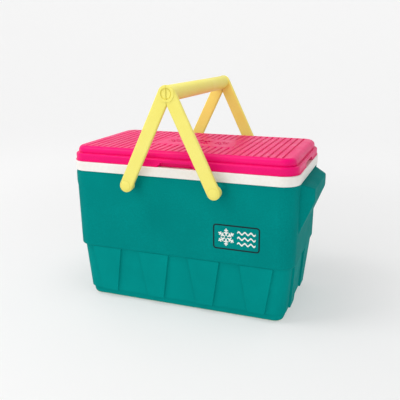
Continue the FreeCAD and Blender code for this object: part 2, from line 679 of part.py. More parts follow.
def pivot_bush(label, side_x, side_y):
    """Flanged bush, pressed in the post; its flange spaces the arm from the post."""
    body = new_body(label)
    sleeve = disc(sketch_on(body, f"{label}_sleeve_outline", "XY_Plane"), "0", "0", "sleeve_radius")
    extrude(body, f"{label}_sleeve", sleeve, "post_face - sleeve_inner")
    flange = disc(sketch_on(body, f"{label}_flange_outline", "XY_Plane", "post_face - sleeve_inner"),
                  "0", "0", "flange_radius")
    extrude(body, f"{label}_flange", flange, "arm_face - arm_thickness - flange_gap - post_face")
    bore = disc(sketch_on(body, f"{label}_bore_outline", "XY_Plane"), "0", "0", "pin_radius + running_gap")
    extrude(body, f"{label}_bore", bore, "arm_face - sleeve_inner", cut=True, reverse=True)
    place_on_pivot(body, side_x, side_y, "sleeve_inner")
    return body


def retaining_clip(label, side_x, side_y):
    """Push-on spring clip that holds the pin's inner end behind the bush."""
    body = new_body(label)
    plate = disc(sketch_on(body, f"{label}_outline", "XY_Plane"), "0", "0", "clip_radius")
    extrude(body, f"{label}_plate", plate, "clip_thickness")
    hole = disc(sketch_on(body, f"{label}_hole_outline", "XY_Plane"), "0", "0", "pin_radius")
    extrude(body, f"{label}_hole", hole, "clip_thickness", cut=True, reverse=True)
    place_on_pivot(body, side_x, side_y, "sleeve_inner - clip_gap - clip_thickness")
    return body


def build():
    pieces = [outer_shell(), inner_liner(), body_insulation(), lid_cover(), lid_pan(), lid_insulation()]
    pieces.append(bail("left_handle", 0))
    pieces.append(bail("right_handle", 180))
    for side_x, side_y in CORNERS:
        for make in (pivot_post, pivot_bush, pivot_pin, retaining_clip):
            pieces.append(make(f"{make.__name__}_{corner_name(side_x, side_y)}", side_x, side_y))
    doc.recompute()
    return pieces


def check(pieces):
    for item in doc.Objects:
        if "Invalid" in item.State or "Error" in item.State:
            raise RuntimeError(f"{item.Name} is {item.State}")
    for body in pieces:
        shape = body.Shape
        if shape.isNull() or not shape.isValid() or len(shape.Solids) != 1:
            raise RuntimeError(f"{body.Label} is not one valid solid")


def write(pieces):
    os.makedirs("parts", exist_ok=True)
    for body in pieces:
        body.Shape.exportStep(f"parts/{body.Label}.step")
        bounds = body.Shape.BoundBox
        print(f"{body.Label}: {bounds.XLength:.1f} x {bounds.YLength:.1f} x {bounds.ZLength:.1f} mm, "
              f"{body.Shape.Volume / 1000:.1f} cm3")


parts = build()
check(parts)
write(parts)
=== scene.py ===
"""Moulded ice chest with a lift-off lid and two bail handles that fold down over its ends."""

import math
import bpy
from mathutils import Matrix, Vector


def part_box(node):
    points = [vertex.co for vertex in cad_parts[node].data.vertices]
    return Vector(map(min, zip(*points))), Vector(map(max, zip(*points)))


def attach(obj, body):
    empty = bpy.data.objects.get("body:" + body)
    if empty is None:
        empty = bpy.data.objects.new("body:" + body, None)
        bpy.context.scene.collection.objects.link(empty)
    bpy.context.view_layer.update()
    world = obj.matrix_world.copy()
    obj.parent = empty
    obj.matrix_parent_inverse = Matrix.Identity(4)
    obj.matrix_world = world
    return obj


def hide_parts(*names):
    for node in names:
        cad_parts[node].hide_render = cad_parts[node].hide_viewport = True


bl_info = {"name": "Ice Chest", "version": (1, 0, 0), "blender": (4, 5, 0),
    "location": "3D View > Sidebar > Ice Chest",
    "description": "Builds a moulded ice chest with a lift-off lid and two folding handles",
    "category": "Object",}

from collections import namedtuple

import bmesh
import bpy
from bpy.props import FloatProperty, FloatVectorProperty, IntProperty, PointerProperty
from mathutils import Matrix, Vector

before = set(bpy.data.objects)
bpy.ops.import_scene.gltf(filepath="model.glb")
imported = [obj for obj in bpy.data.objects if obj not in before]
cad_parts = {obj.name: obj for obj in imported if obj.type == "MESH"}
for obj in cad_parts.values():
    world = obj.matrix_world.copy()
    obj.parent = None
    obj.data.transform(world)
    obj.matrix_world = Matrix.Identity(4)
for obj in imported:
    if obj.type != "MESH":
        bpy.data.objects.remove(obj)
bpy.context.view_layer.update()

MM = 0.001
FRONT, RIGHT, REAR, LEFT = range(4)
LONG_SIDES = (FRONT, REAR)
CORNER_STEPS = 12
SHARP_ANGLE = math.radians(38)
# how near two points are before they are one
WELD = 0.002 * MM

CAMERA_TARGET = Vector((2.0, 0.0, 193.5)) * MM
CAMERA_DISTANCE = 1115 * MM
CAMERA_AZIMUTH = math.radians(20.39)
CAMERA_ELEVATION = math.radians(15.88)
CAMERA_ROLL = math.radians(-0.268)
CAMERA_LENS = 48.8


# ---- sizes and finishes that a user may change ----

def linear_from_hex(code):
    """Linear colour with alpha from an sRGB hex colour."""
    channels = (int(code[i:i + 2], 16) / 255 for i in (1, 3, 5))
    return tuple(c / 12.92 if c <= 0.04045 else ((c + 0.055) / 1.055) ** 2.4 for c in channels) + (1.0,)


def length(name, description, millimetres):
    return FloatProperty(name=name, description=description, default=millimetres * MM, min=0.0,
        subtype="DISTANCE", unit="LENGTH")


def count(name, description, default):
    return IntProperty(name=name, description=description, default=default, min=1, max=20)


def finish(name, description, code):
    return FloatVectorProperty(name=name, description=description, default=linear_from_hex(code), size=4,
        min=0.0, max=1.0, subtype="COLOR")


def power(name, description, watts):
    return FloatProperty(name=name, description=description, default=watts, min=0.0, unit="POWER")


def strength(name, description, default):
    return FloatProperty(name=name, description=description, default=default, min=0.0)


class ShellSizes(bpy.types.PropertyGroup):
    """Teal outer shell."""
    wall: length("Wall", "Thickness of the shell's walls", 3.0)
    corner: length("Corner radius", "Radius of the upright corners of the upper wall", 31.5)
    taper: length("Taper", "How much less the upper wall widens along its length than across", 0.5)
    step_level: length("Step level", "Height of the step under the upper wall", 113.0)
    step_length: length("Step length", "Length of the upper wall at the step", 440.0)
    step_width: length("Step width", "Width of the upper wall at the step", 241.0)
    lip_height: length("Lip height", "Height of the rounded lip at the step", 3.0)
    lip_inset: length("Lip inset", "How far the lip's lower edge is set in", 2.0)
    tongue_inset: length("Tongue inset", "How far the tongue inside the rim is set in", 1.5)
    lower_length: length("Lower length", "Length of the lower wall at the step", 428.0)
    lower_width: length("Lower width", "Width of the lower wall at the step", 230.0)
    lower_corner: length("Lower corner radius", "Radius of the lower wall's corners at the step", 27.0)
    foot_length: length("Foot length", "Length of the lower wall at its foot", 412.0)
    foot_width: length("Foot width", "Width of the lower wall at its foot", 217.0)
    foot_corner: length("Foot corner radius", "Radius of the lower wall's corners at its foot", 22.0)
    band_height: length("Band height", "Height of the base band", 18.0)
    band_length: length("Band length", "Length of the base band", 404.0)
    band_width: length("Band width", "Width of the base band", 209.0)
    band_corner: length("Band corner radius", "Radius of the base band's corners", 19.0)
    base_round: length("Base rounding", "Radius of the base's lower edge", 11.0)
    panel_pitch: length("Panel pitch", "Distance from one raised panel to the next", 102.0)
    panel_top: length("Panel top width", "Width of a raised panel at its head", 65.0)
    panel_foot: length("Panel foot width", "Width of a raised panel at its foot", 34.0)
    panel_proud: length("Panel height", "How far a panel stands proud of the wall at its foot", 3.5)
    panel_lean: length("Panel lean", "How much further a panel stands proud at its head", 0.6)
    panel_bevel: length("Panel bevel", "Half width of a panel's sloped edge", 0.9)


class LedgeSizes(bpy.types.PropertyGroup):
    """Grip ledges on the two ends."""
    root: length("Root", "Where a ledge leaves the wall, from the middle", 219.0)
    root_half: length("Root half width", "Half width of a ledge at the wall", 85.0)
    root_low: length("Root low level", "Lowest level of a ledge at the wall", 167.0)
    root_high: length("Root high level", "Highest level of a ledge at the wall", 265.0)
    lip_half: length("Lip half width", "Half width of a ledge at its lip", 68.0)
    lip_low: length("Lip low level", "Lower level of a ledge's lip", 230.0)
    lip_high: length("Lip high level", "Upper level of a ledge's lip", 254.0)
    rounding: length("Rounding", "Radius of a ledge's edges", 4.0)


class LinerSizes(bpy.types.PropertyGroup):
    """White liner with its rim."""
    rim_skirt: length("Rim skirt", "Height of the rim's outer face", 18.0)
    rim_wall: length("Rim wall", "Thickness of the rim", 2.5)
    rim_deck: length("Rim deck", "Thickness of the rim's top", 3.0)
    rim_round: length("Rim rounding", "Radius of the rim's top edge", 2.0)
    corner: length("Corner radius", "Radius of the rim's upright corners", 33.0)
    mouth_length: length("Mouth length", "Length of the opening", 399.0)
    mouth_width: length("Mouth width", "Width of the opening", 201.0)
    mouth_corner: length("Mouth corner radius", "Radius of the opening's corners", 28.0)
    mouth_round: length("Mouth rounding", "Radius of the opening's top edge", 2.5)
    floor_length: length("Floor length", "Length of the inner floor", 385.0)
    floor_width: length("Floor width", "Width of the inner floor", 187.0)
    floor_corner: length("Floor corner radius", "Radius of the inner floor's corners", 24.0)
    floor_round: length("Floor rounding", "Radius between walls and inner floor", 10.0)
    wall: length("Wall", "Thickness of the liner", 2.5)


class LidSizes(bpy.types.PropertyGroup):
    """Pink lid."""
    corner: length("Corner radius", "Radius of the lid's upright corners", 32.0)
    band_level: length("Band level", "Top of the lid's outer band", 300.0)
    band_round: length("Band rounding", "Radius of the band's top edge", 3.2)
    flange_height: length("Flange height", "Height of the thin flange at the lid's foot", 1.9)
    flange_width: length("Flange width", "How far the flange stands out from the band", 1.3)
    slab_inset: length("Slab inset", "How far the raised slab is set in from the flange", 6.5)
    slab_round: length("Slab rounding", "Radius of the slab's top edge", 10.0)
    wall: length("Wall", "Thickness of the lid", 3.0)
    notch_half: length("Notch half width", "Half width of a finger notch at its mouth", 36.0)
    notch_top_half: length("Notch top half width", "Half width of a finger notch at its roof", 29.0)
    notch_height: length("Notch height", "Height of a finger notch", 8.0)
    notch_depth: length("Notch depth", "Depth of a finger notch", 8.0)
    notch_wall: length("Notch wall", "Thickness of the walls round a finger notch", 2.5)
    groove_pitch: length("Groove pitch", "Distance from one groove to the next", 12.8)
    groove_width: length("Groove width", "Width of a groove at the surface", 4.4)
    groove_depth: length("Groove depth", "Depth of a groove", 2.6)
    groove_reach: length("Groove reach", "Half length of the grooved field across the lid", 108.0)
    grooves_each_side: count("Grooves each side", "Full grooves beside the plate", 9)
    plate_half_length: length("Plate half length", "Half length of the plain plate in the middle", 80.0)
    plate_half_width: length("Plate half width", "Half width of the plain plate in the middle", 40.0)
    plate_corner: length("Plate corner radius", "Corner radius of the line round the plate", 4.0)
    plate_margin: length("Plate margin", "Gap between the plate and the short grooves", 3.2)
    flake_depth: length("Snowflake depth", "How far the snowflakes are sunk in the plate", 2.0)
    flake_large: length("Large snowflake", "Reach of the middle snowflake", 29.0)
    flake_small: length("Small snowflake", "Reach of the two outer snowflakes", 17.0)
    flake_offset: length("Snowflake offset", "Distance of the outer snowflakes from the middle", 49.0)
    plug_half_length: length("Plug half length", "Half length of the plug under the lid", 197.0)
    plug_half_width: length("Plug half width", "Half width of the plug under the lid", 98.0)
    plug_corner: length("Plug corner radius", "Corner radius of the plug", 26.0)
    plug_round: length("Plug rounding", "Radius of the plug's lower edge", 4.0)
    pan_wall: length("Pan wall", "Thickness of the pan under the lid", 2.5)
    pan_corner: length("Pan corner radius", "Corner radius of the pan", 28.6)
    pan_gap: length("Pan gap", "Gap between the pan and the walls round a finger notch", 0.4)


class HandleSizes(bpy.types.PropertyGroup):
    """Yellow bail handles."""
    pivot_offset: length("Pivot offset", "Distance of a pivot from the middle", 84.0)
    pivot_height: length("Pivot height", "Height of the pivots", 254.0)
    end_radius: length("End radius", "Radius of an arm's round end", 12.2)
    apex_height: length("Apex height", "Where the two arms part, under the grip", 401.0)
    grip_height: length("Grip height", "Height of the grip's middle", 421.0)
    grip_radius: length("Grip radius", "Radius of the closed grip", 14.0)
    grip_wall: length("Grip wall", "Thickness of the hollow grip", 3.0)
    arm_face: length("Arm face", "Outer face of an arm, from the middle", 157.0)
    arm_thickness: length("Arm thickness", "Thickness of an arm", 8.0)
    arm_round: length("Arm rounding", "Radius of an arm's edges", 2.5)
    seam_gap: length("Seam gap", "Half of the gap between the two handles", 0.15)
    seam_ease: length("Seam ease", "Most that the rounding takes off at the seam", 0.7)
    ring_radius: length("Ring radius", "Radius of the raised ring on the grip's end", 14.8)
    ring_height: length("Ring height", "Height of the raised ring", 1.2)
    recess_radius: length("Recess radius", "Radius of the recess in the grip's end", 10.0)
    recess_depth: length("Recess depth", "Depth of the recess round the hub", 2.4)
    hub_radius: length("Hub radius", "Radius of the low hub inside the recess", 8.2)
    hub_drop: length("Hub drop", "How far the hub stays below the ring's face", 0.9)
    cap_radius: length("Cap radius", "Radius of the raised cap over a pivot", 9.2)
    rib_count: count("Ribs", "Ribs across the hollow of a grip", 5)
    rib_thickness: length("Rib thickness", "Thickness of a rib", 2.0)


class PivotSizes(bpy.types.PropertyGroup):
    """Posts, bushes, pins and clips."""
    sleeve: length("Sleeve radius", "Radius of a bush's sleeve and of a post's bore", 6.5)
    spigot: length("Spigot radius", "Radius of a post where it passes through the wall", 8.5)
    seat: length("Seat", "Outer face of the wall at a pivot, from the middle", 122.0)
    flange_seat: length("Flange seat", "Inner face of a bush's flange, from the middle", 142.3)
    pin_hole: length("Pin hole radius", "Radius of a bush's hole", 4.08)
    clip_hole: length("Clip hole radius", "Radius of a clip's hole before it is pushed on", 3.9)


class BadgeSizes(bpy.types.PropertyGroup):
    """Printed badge on the front."""
    centre: length("Centre", "Distance of the badge's middle from the chest's", 116.0)
    level: length("Level", "Height of the badge's middle", 165.0)
    frame_length: length("Frame length", "Length of the badge's frame", 88.0)
    frame_height: length("Frame height", "Height of the badge's frame", 48.0)
    frame_corner: length("Frame corner", "Corner radius of the badge's frame", 6.0)
    line: length("Line", "Width of the frame's line", 2.6)
    ink: length("Ink", "Thickness of the printed film", 0.12)
    flake_offset: length("Snowflake offset", "Distance of the snowflake from the badge's middle", 19.0)
    flake_reach: length("Snowflake reach", "Length of an arm of the snowflake", 17.0)
    flake_hub: length("Snowflake hub", "Where an arm starts, from the snowflake's middle", 2.6)
    flake_line: length("Snowflake line", "Half width of an arm", 1.15)
    wave_start: length("Wave start", "Where the waves start, from the badge's middle", 2.0)
    wave_end: length("Wave end", "Where the waves end, from the badge's middle", 36.0)
    wave_pitch: length("Wave pitch", "Distance from one wave line to the next", 10.5)
    wave_length: length("Wave length", "Distance from one crest of a wave to the next", 11.33)
    wave_swing: length("Wave swing", "How far a wave rises and falls", 2.2)
    wave_line: length("Wave line", "Half width of a wave line", 1.6)


class Finishes(bpy.types.PropertyGroup):
    """Colours."""
    teal: finish("Teal", "Shell", "#008C87")
    teal_deep: finish("Deep teal", "Shell where the pigment is denser", "#007E7A")
    pink: finish("Pink", "Lid", "#EE0A72")
    pink_deep: finish("Deep pink", "Lid where the pigment is denser", "#E00568")
    white: finish("White", "Liner", "#ECE9E5")
    white_deep: finish("Aged white", "Liner where it has yellowed", "#E6E1D9")
    yellow: finish("Yellow", "Handles", "#EBE27A")
    yellow_deep: finish("Deep yellow", "Handles where the pigment is denser", "#E6D962")
    foam: finish("Foam", "Insulation", "#E9DFB8")
    steel: finish("Steel", "Pins and clips", "#C3C5C8")
    ink_dark: finish("Dark ink", "Badge frame", "#04262B")
    ink_white: finish("White ink", "Badge motif", "#F4F4EF")


class StageSettings(bpy.types.PropertyGroup):
    """Floor and light."""
    floor: finish("Floor", "Studio paper", "#BABABA")
    air: strength("Air", "Strength of the light from all round", 0.42)
    glow: strength("Glow", "Strength of the light behind the paper", 0.55)
    key: power("Key light", "Power of the large light at the upper left", 15.0)
    fill: power("Fill light", "Power of the light in front", 7.0)
    top: power("Top light", "Power of the light over the lid", 1.6)


class ChestSettings(bpy.types.PropertyGroup):
    """All settings of the chest."""
    shell: PointerProperty(type=ShellSizes, name="Shell", description="Sizes of the shell")
    ledge: PointerProperty(type=LedgeSizes, name="Ledges", description="Sizes of the end ledges")
    liner: PointerProperty(type=LinerSizes, name="Liner", description="Sizes of the liner")
    lid: PointerProperty(type=LidSizes, name="Lid", description="Sizes of the lid")
    handle: PointerProperty(type=HandleSizes, name="Handles", description="Sizes of the handles")
    pivot: PointerProperty(type=PivotSizes, name="Pivots", description="Sizes of the pivots")
    badge: PointerProperty(type=BadgeSizes, name="Badge", description="Sizes of the printed badge")
    finishes: PointerProperty(type=Finishes, name="Finishes", description="Colours of the pieces")
    stage: PointerProperty(type=StageSettings, name="Stage", description="Floor and light")


def settings():
    return bpy.context.scene.ice_chest


# ---- nodes and materials ----

def add_node(tree, kind, inputs=None, **options):
    """Adds a node, sets its options, then sets or links its inputs by name or number."""
    node = tree.nodes.new(kind)
    for option, value in options.items():
        setattr(node, option, value)
    for name, value in (inputs or {}).items():
        if isinstance(value, bpy.types.NodeSocket):
            tree.links.new(value, node.inputs[name])
        else:
            node.inputs[name].default_value = value
    return node


def new_material(name):
    """An empty material, its node tree and the piece's own coordinates."""
    material = bpy.data.materials.new(name)
    material.use_nodes = True
    tree = material.node_tree
    tree.nodes.clear()
    return material, tree, add_node(tree, "ShaderNodeTexCoord").outputs["Object"]


def moulded_plastic(name, colour, deep, roughness, gloss, grain, grain_height, smooth_and_bounce_lit_below=None):
    """Moulded polymer: pigment with faint flow clouds, grained skin, polish that varies with handling, and,
    where a level is given, a painted shade above that level.
    """
    material, tree, place = new_material(name)
    # flow clouds some 90 mm across, where the melt cooled at different speeds
    clouds = add_node(tree, "ShaderNodeTexNoise", {"Vector": place, "Scale": 1 / (90 * MM), "Detail": 3.0,
        "Roughness": 0.55})
    cloudy = add_node(tree, "ShaderNodeMapRange", {"Value": clouds.outputs["Fac"], "From Min": 0.35,
        "From Max": 0.7, "To Min": 0.0, "To Max": 0.5})
    skin_grain = add_node(tree, "ShaderNodeTexNoise", {"Vector": place, "Scale": 1 / (grain * MM),
        "Detail": 2.0, "Roughness": 0.5})
    specks = add_node(tree, "ShaderNodeMapRange", {"Value": skin_grain.outputs["Fac"], "From Min": 0.35,
        "From Max": 0.65, "To Min": 0.0, "To Max": 0.5})
    grain_and_painted_shade, height = specks.outputs[0], skin_grain.outputs["Fac"]
    if smooth_and_bounce_lit_below is not None:
        # the mould is polished below this level, so the grain stops there; above it the pigment is also
        # darkened, a painted shade, so that the lower wall reads lighter as if lit by the floor
        level = add_node(tree, "ShaderNodeSeparateXYZ", {"Vector": place}).outputs["Z"]
        above = add_node(tree, "ShaderNodeMapRange", {"Value": level, "From Min": smooth_and_bounce_lit_below - 0.5 * MM,
            "From Max": smooth_and_bounce_lit_below + 0.5 * MM, "To Min": 0.0, "To Max": 1.0}).outputs[0]
        # painted shade: the upper wall takes 0.35 more of the deep colour than the lower wall, in place of
        # the floor's bounce light on the lower wall
        grain_plus_painted_shade = add_node(tree, "ShaderNodeMath", {0: grain_and_painted_shade, 1: 0.35}, operation="ADD").outputs[0]
        grain_and_painted_shade = add_node(tree, "ShaderNodeMath", {0: grain_plus_painted_shade, 1: above}, operation="MULTIPLY").outputs[0]
        height = add_node(tree, "ShaderNodeMath", {0: height, 1: above}, operation="MULTIPLY").outputs[0]
    amount = add_node(tree, "ShaderNodeMath", {0: cloudy.outputs[0], 1: grain_and_painted_shade}, operation="ADD",
        use_clamp=True)
    pigment = add_node(tree, "ShaderNodeMix", {"Factor": amount.outputs[0], "A": colour, "B": deep},
        data_type="RGBA")
    # rubbed patches some 35 mm across are a little shinier than the rest
    rubbed = add_node(tree, "ShaderNodeTexNoise", {"Vector": place, "Scale": 1 / (35 * MM), "Detail": 4.0})
    polish = add_node(tree, "ShaderNodeMapRange", {"Value": rubbed.outputs["Fac"], "From Min": 0.3,
        "From Max": 0.7, "To Min": roughness - 0.06, "To Max": roughness + 0.06})
    bump = add_node(tree, "ShaderNodeBump", {"Height": height, "Strength": 1.0,
        "Distance": grain_height * MM})
    shader = add_node(tree, "ShaderNodeBsdfPrincipled", {"Base Color": pigment.outputs["Result"],
        "Roughness": polish.outputs[0], "IOR": 1.5, "Specular IOR Level": gloss,
        "Normal": bump.outputs["Normal"]})
    add_node(tree, "ShaderNodeOutputMaterial", {"Surface": shader.outputs["BSDF"]})
    return material


def teal_plastic(name, colours):
    """Injection-moulded HDPE with a fine leather grain: matt, deep teal. Below the step it is left lighter:
    painted light that stands in for the floor's bounce onto the lower wall.
    """
    # the real grain is about 0.6 mm; it is drawn at 2.4 mm, the finest that shows
    return moulded_plastic(name, colours.teal, colours.teal_deep, roughness=0.6, gloss=0.015, grain=2.4,
        grain_height=0.14, smooth_and_bounce_lit_below=settings().shell.step_level + 1 * MM)


def pink_plastic(name, colours):
    """Injection-moulded HDPE, smoother than the shell: a soft sheen along the lid."""
    return moulded_plastic(name, colours.pink, colours.pink_deep, roughness=0.36, gloss=0.12, grain=2.0,
        grain_height=0.03)


def white_plastic(name, colours):
    """Vacuum-formed polystyrene: smooth and slightly glossy, yellowed a little with age."""
    return moulded_plastic(name, colours.white, colours.white_deep, roughness=0.38, gloss=0.4, grain=5.0,
        grain_height=0.02)


def yellow_plastic(name, colours):
    """Injection-moulded polypropylene: waxy satin yellow."""
    return moulded_plastic(name, colours.yellow, colours.yellow_deep, roughness=0.46, gloss=0.25, grain=1.6,
        grain_height=0.03)


def foam(name, colours):
    """Poured polyurethane foam: pale straw, matt, pitted with closed cells about 1.5 mm across."""
    material, tree, place = new_material(name)
    cells = add_node(tree, "ShaderNodeTexVoronoi", {"Vector": place, "Scale": 1 / (1.5 * MM)})
    depth = add_node(tree, "ShaderNodeMapRange", {"Value": cells.outputs["Distance"], "From Max": 0.8,
        "To Min": 0.0, "To Max": 0.35})
    pale = tuple(min(1.0, c * 1.15) for c in colours.foam[:3]) + (1.0,)
    tint = add_node(tree, "ShaderNodeMix", {"Factor": depth.outputs[0], "A": colours.foam, "B": pale},
        data_type="RGBA")
    bump = add_node(tree, "ShaderNodeBump", {"Height": cells.outputs["Distance"], "Distance": 0.3 * MM})
    shader = add_node(tree, "ShaderNodeBsdfPrincipled", {"Base Color": tint.outputs["Result"],
        "Roughness": 0.9, "Normal": bump.outputs["Normal"]})
    add_node(tree, "ShaderNodeOutputMaterial", {"Surface": shader.outputs["BSDF"]})
    return material


def zinc_plated_steel(name, colours):
    """Zinc-plated steel: bright, with fine turning marks about 0.3 mm apart that spread the highlight."""
    material, tree, place = new_material(name)
    marks = add_node(tree, "ShaderNodeTexNoise", {"Vector": place, "Scale": 1 / (0.3 * MM), "Detail": 2.0})
    polish = add_node(tree, "ShaderNodeMapRange", {"Value": marks.outputs["Fac"], "To Min": 0.24,
        "To Max": 0.42})
    bump = add_node(tree, "ShaderNodeBump", {"Height": marks.outputs["Fac"], "Distance": 0.01 * MM})
    shader = add_node(tree, "ShaderNodeBsdfPrincipled", {"Base Color": colours.steel, "Metallic": 1.0,
        "Roughness": polish.outputs[0], "Normal": bump.outputs["Normal"]})
    add_node(tree, "ShaderNodeOutputMaterial", {"Surface": shader.outputs["BSDF"]})
    return material


def screen_ink(name, colour):
    """Screen-printed ink: a thin matt film that follows the grain under it, a little worn in spots."""
    material, tree, place = new_material(name)
    grain = add_node(tree, "ShaderNodeTexNoise", {"Vector": place, "Scale": 1 / (2.4 * MM), "Detail": 2.0})
    worn = tuple(0.8 * c + 0.02 for c in colour[:3]) + (1.0,)
    tint = add_node(tree, "ShaderNodeMix", {"Factor": grain.outputs["Fac"], "A": colour, "B": worn},
        data_type="RGBA")
    bump = add_node(tree, "ShaderNodeBump", {"Height": grain.outputs["Fac"], "Distance": 0.08 * MM})
    shader = add_node(tree, "ShaderNodeBsdfPrincipled", {"Base Color": tint.outputs["Result"],
        "Roughness": 0.6, "Specular IOR Level": 0.04, "Normal": bump.outputs["Normal"]})
    add_node(tree, "ShaderNodeOutputMaterial", {"Surface": shader.outputs["BSDF"]})
    return material


def backdrop_paper(name, _):
    """Matt studio paper, lit from behind more and more away from the middle: floor and wall look alike."""
    material, tree, place = new_material(name)
    stage = settings().stage
    away = add_node(tree, "ShaderNodeVectorMath", {0: place}, operation="LENGTH").outputs["Value"]
    glow = add_node(tree, "ShaderNodeMapRange", {"Value": away, "From Min": 0.2, "From Max": 1.6,
        "To Min": 0.75 * stage.glow, "To Max": stage.glow}, interpolation_type="SMOOTHSTEP")
    paper = add_node(tree, "ShaderNodeBsdfDiffuse", {"Color": stage.floor})
    lit = add_node(tree, "ShaderNodeEmission", {"Strength": glow.outputs[0]})
    shader = add_node(tree, "ShaderNodeAddShader", {0: paper.outputs[0], 1: lit.outputs[0]})
    add_node(tree, "ShaderNodeOutputMaterial", {"Surface": shader.outputs[0]})
    return material


# finish of a piece: name of its material, and what makes it
MATERIALS = {"teal_plastic": ("hdpe_teal_grained", teal_plastic),
    "pink_plastic": ("hdpe_pink_satin", pink_plastic),
    "white_plastic": ("polystyrene_white_formed", white_plastic),
    "yellow_plastic": ("polypropylene_yellow_satin", yellow_plastic),
    "foam": ("polyurethane_foam_poured", foam), "steel": ("steel_zinc_plated", zinc_plated_steel),
    "ink_dark": ("screen_ink_dark", lambda name, colours: screen_ink(name, colours.ink_dark)),
    "ink_white": ("screen_ink_white", lambda name, colours: screen_ink(name, colours.ink_white)),
    "paper": ("paper_backdrop_matt", backdrop_paper),}


def material_for(finish_name):
    """The material of a finish, made when it is first asked for."""
    name, make = MATERIALS[finish_name]
    return bpy.data.materials.get(name) or make(name, settings().finishes)


# ---- meshes ----

Section = namedtuple("Section", "half_x half_y radius")
# a flat-faced raised or sunk area on a wall, with its edges leaning from low_half to high_half
Feature = namedtuple("Feature", "side centre low_half high_half z_low z_high depth_low depth_high bevel")
# across a feature's bevel: place, as a share of the bevel, and share of the depth reached there
BEVEL_CURVE = ((-1.0, 0.0), (-0.5, 0.12), (0.0, 0.5), (0.5, 0.88), (1.0, 1.0))


def inset(section, d):
    return Section(section.half_x - d, section.half_y - d, max(section.radius - d, 0.5 * MM))


def between(low, high, fraction):
    return low + (high - low) * fraction


def arc(centre, radius, first, sweep, steps):
    """Points of a flat arc; first and sweep are angles in degrees."""
    angles = (math.radians(first + sweep * step / steps) for step in range(steps + 1))
    return [centre + Vector((math.cos(angle), math.sin(angle))) * radius for angle in angles]


def feature_columns(feature, z):
    """Positions along the wall and offsets of a feature's two bevelled edges at one level."""
    fraction = min(max((z - feature.z_low) / (feature.z_high - feature.z_low), 0.0), 1.0)
    half = between(feature.low_half, feature.high_half, fraction)
    depth = between(feature.depth_low, feature.depth_high, fraction)
    rising = [(feature.centre - half + feature.bevel * s, depth * rise) for s, rise in BEVEL_CURVE]
    return rising + [(2 * feature.centre - t, offset) for t, offset in reversed(rising)]


def wall_ring(section, z, features=(), amount=0.0):
    """One level of a four-sided body: straight walls with an amount of their features, and round corners."""
    points = []
    for side in range(4):
        turn = Matrix.Rotation(math.radians(90 * side), 2)
        along, out = turn @ Vector((1, 0)), turn @ Vector((0, -1))
        halves = (section.half_x, section.half_y)
        half_along, half_out = halves if side in LONG_SIDES else reversed(halves)
        straight = half_along - section.radius
        columns = [(-straight, 0.0)]
        for feature in sorted((f for f in features if f.side == side), key=lambda f: f.centre):
            columns += feature_columns(feature, z)
        columns.append((straight, 0.0))
        points += [out * (half_out + offset * amount) + along * t for t, offset in columns]
        centre = along * straight + out * (half_out - section.radius)
        for step in range(1, CORNER_STEPS):
            angle = math.radians(90 * step / CORNER_STEPS)
            points.append(centre + (out * math.cos(angle) + along * math.sin(angle)) * section.radius)
    return [Vector((p.x, p.y, z)) for p in points]


def stack(levels, features=()):
    """Rings for levels of (section, how far it is set in, height, and how much its features show)."""
    return [wall_ring(inset(section, d), z, features, *amount) for section, d, z, *amount in levels]


def rounded_rim(section, z, radius, stop=90, steps=5, sign=1):
    """Levels round a horizontal edge, from the wall on: sign 1 for an upper edge, -1 for a lower one."""
    angles = [math.radians(stop * step / steps) for step in range(steps + 1)]
    return [(section, radius * (1 - math.cos(a)), z - sign * radius * (1 - math.sin(a))) for a in angles]


def skin(work, rings, caps=True, loop=False, open_rings=False):
    """Joins a stack of rings with quads, and either closes the two ends or joins the last to the first."""
    rows = [[work.verts.new(p) for p in ring] for ring in rings]
    for low, high in zip(rows, rows[1:] + rows[:1] if loop else rows[1:]):
        for i in range(len(low) - 1 if open_rings else len(low)):
            j = (i + 1) % len(low)
            work.faces.new((low[i], low[j], high[j], high[i]))
    if caps and not loop:
        work.faces.new(rows[0])
        work.faces.new(rows[-1])
    return work


def lathe(work, profile, centre, facing, steps=48, start=0.0, sweep=360.0):
    """Turns a profile of (radius, distance out) about a Y axis; part of a turn is closed by flat ends."""
    axis, up = Vector((0, facing, 0)), Vector((0, 0, 1))
    across = axis.cross(up)
    full = sweep >= 360.0
    rings = []
    for step in range(steps if full else steps + 1):
        angle = math.radians(start + sweep * step / steps)
        spoke = up * math.cos(angle) + across * math.sin(angle)
        rings.append([Vector(centre) + axis * along + spoke * radius for radius, along in profile])
    return skin(work, rings, caps=not full, loop=full)


def piece_from(work, name, finish_name, closed=True):
    """Turns the work mesh into a piece with its finish; a closed piece has its faces turned outwards."""
    bmesh.ops.remove_doubles(work, verts=work.verts, dist=WELD)
    bmesh.ops.dissolve_degenerate(work, edges=work.edges, dist=WELD)
    # a pole leaves a loose edge along its axis
    bmesh.ops.delete(work, geom=[edge for edge in work.edges if not edge.link_faces], context="EDGES")
    if closed:
        bmesh.ops.recalc_face_normals(work, faces=work.faces)
    mesh = bpy.data.meshes.new(name)
    work.to_mesh(mesh)
    work.free()
    mesh.materials.append(material_for(finish_name))
    piece = bpy.data.objects.new(name, mesh)
    bpy.context.collection.objects.link(piece)
    return piece


def bake(piece):
    """Turns the piece's modifiers into plain mesh."""
    bpy.context.view_layer.update()
    graph = bpy.context.evaluated_depsgraph_get()
    mesh = bpy.data.meshes.new_from_object(piece.evaluated_get(graph), preserve_all_data_layers=True,
        depsgraph=graph)
    piece.modifiers.clear()
    piece.data = mesh


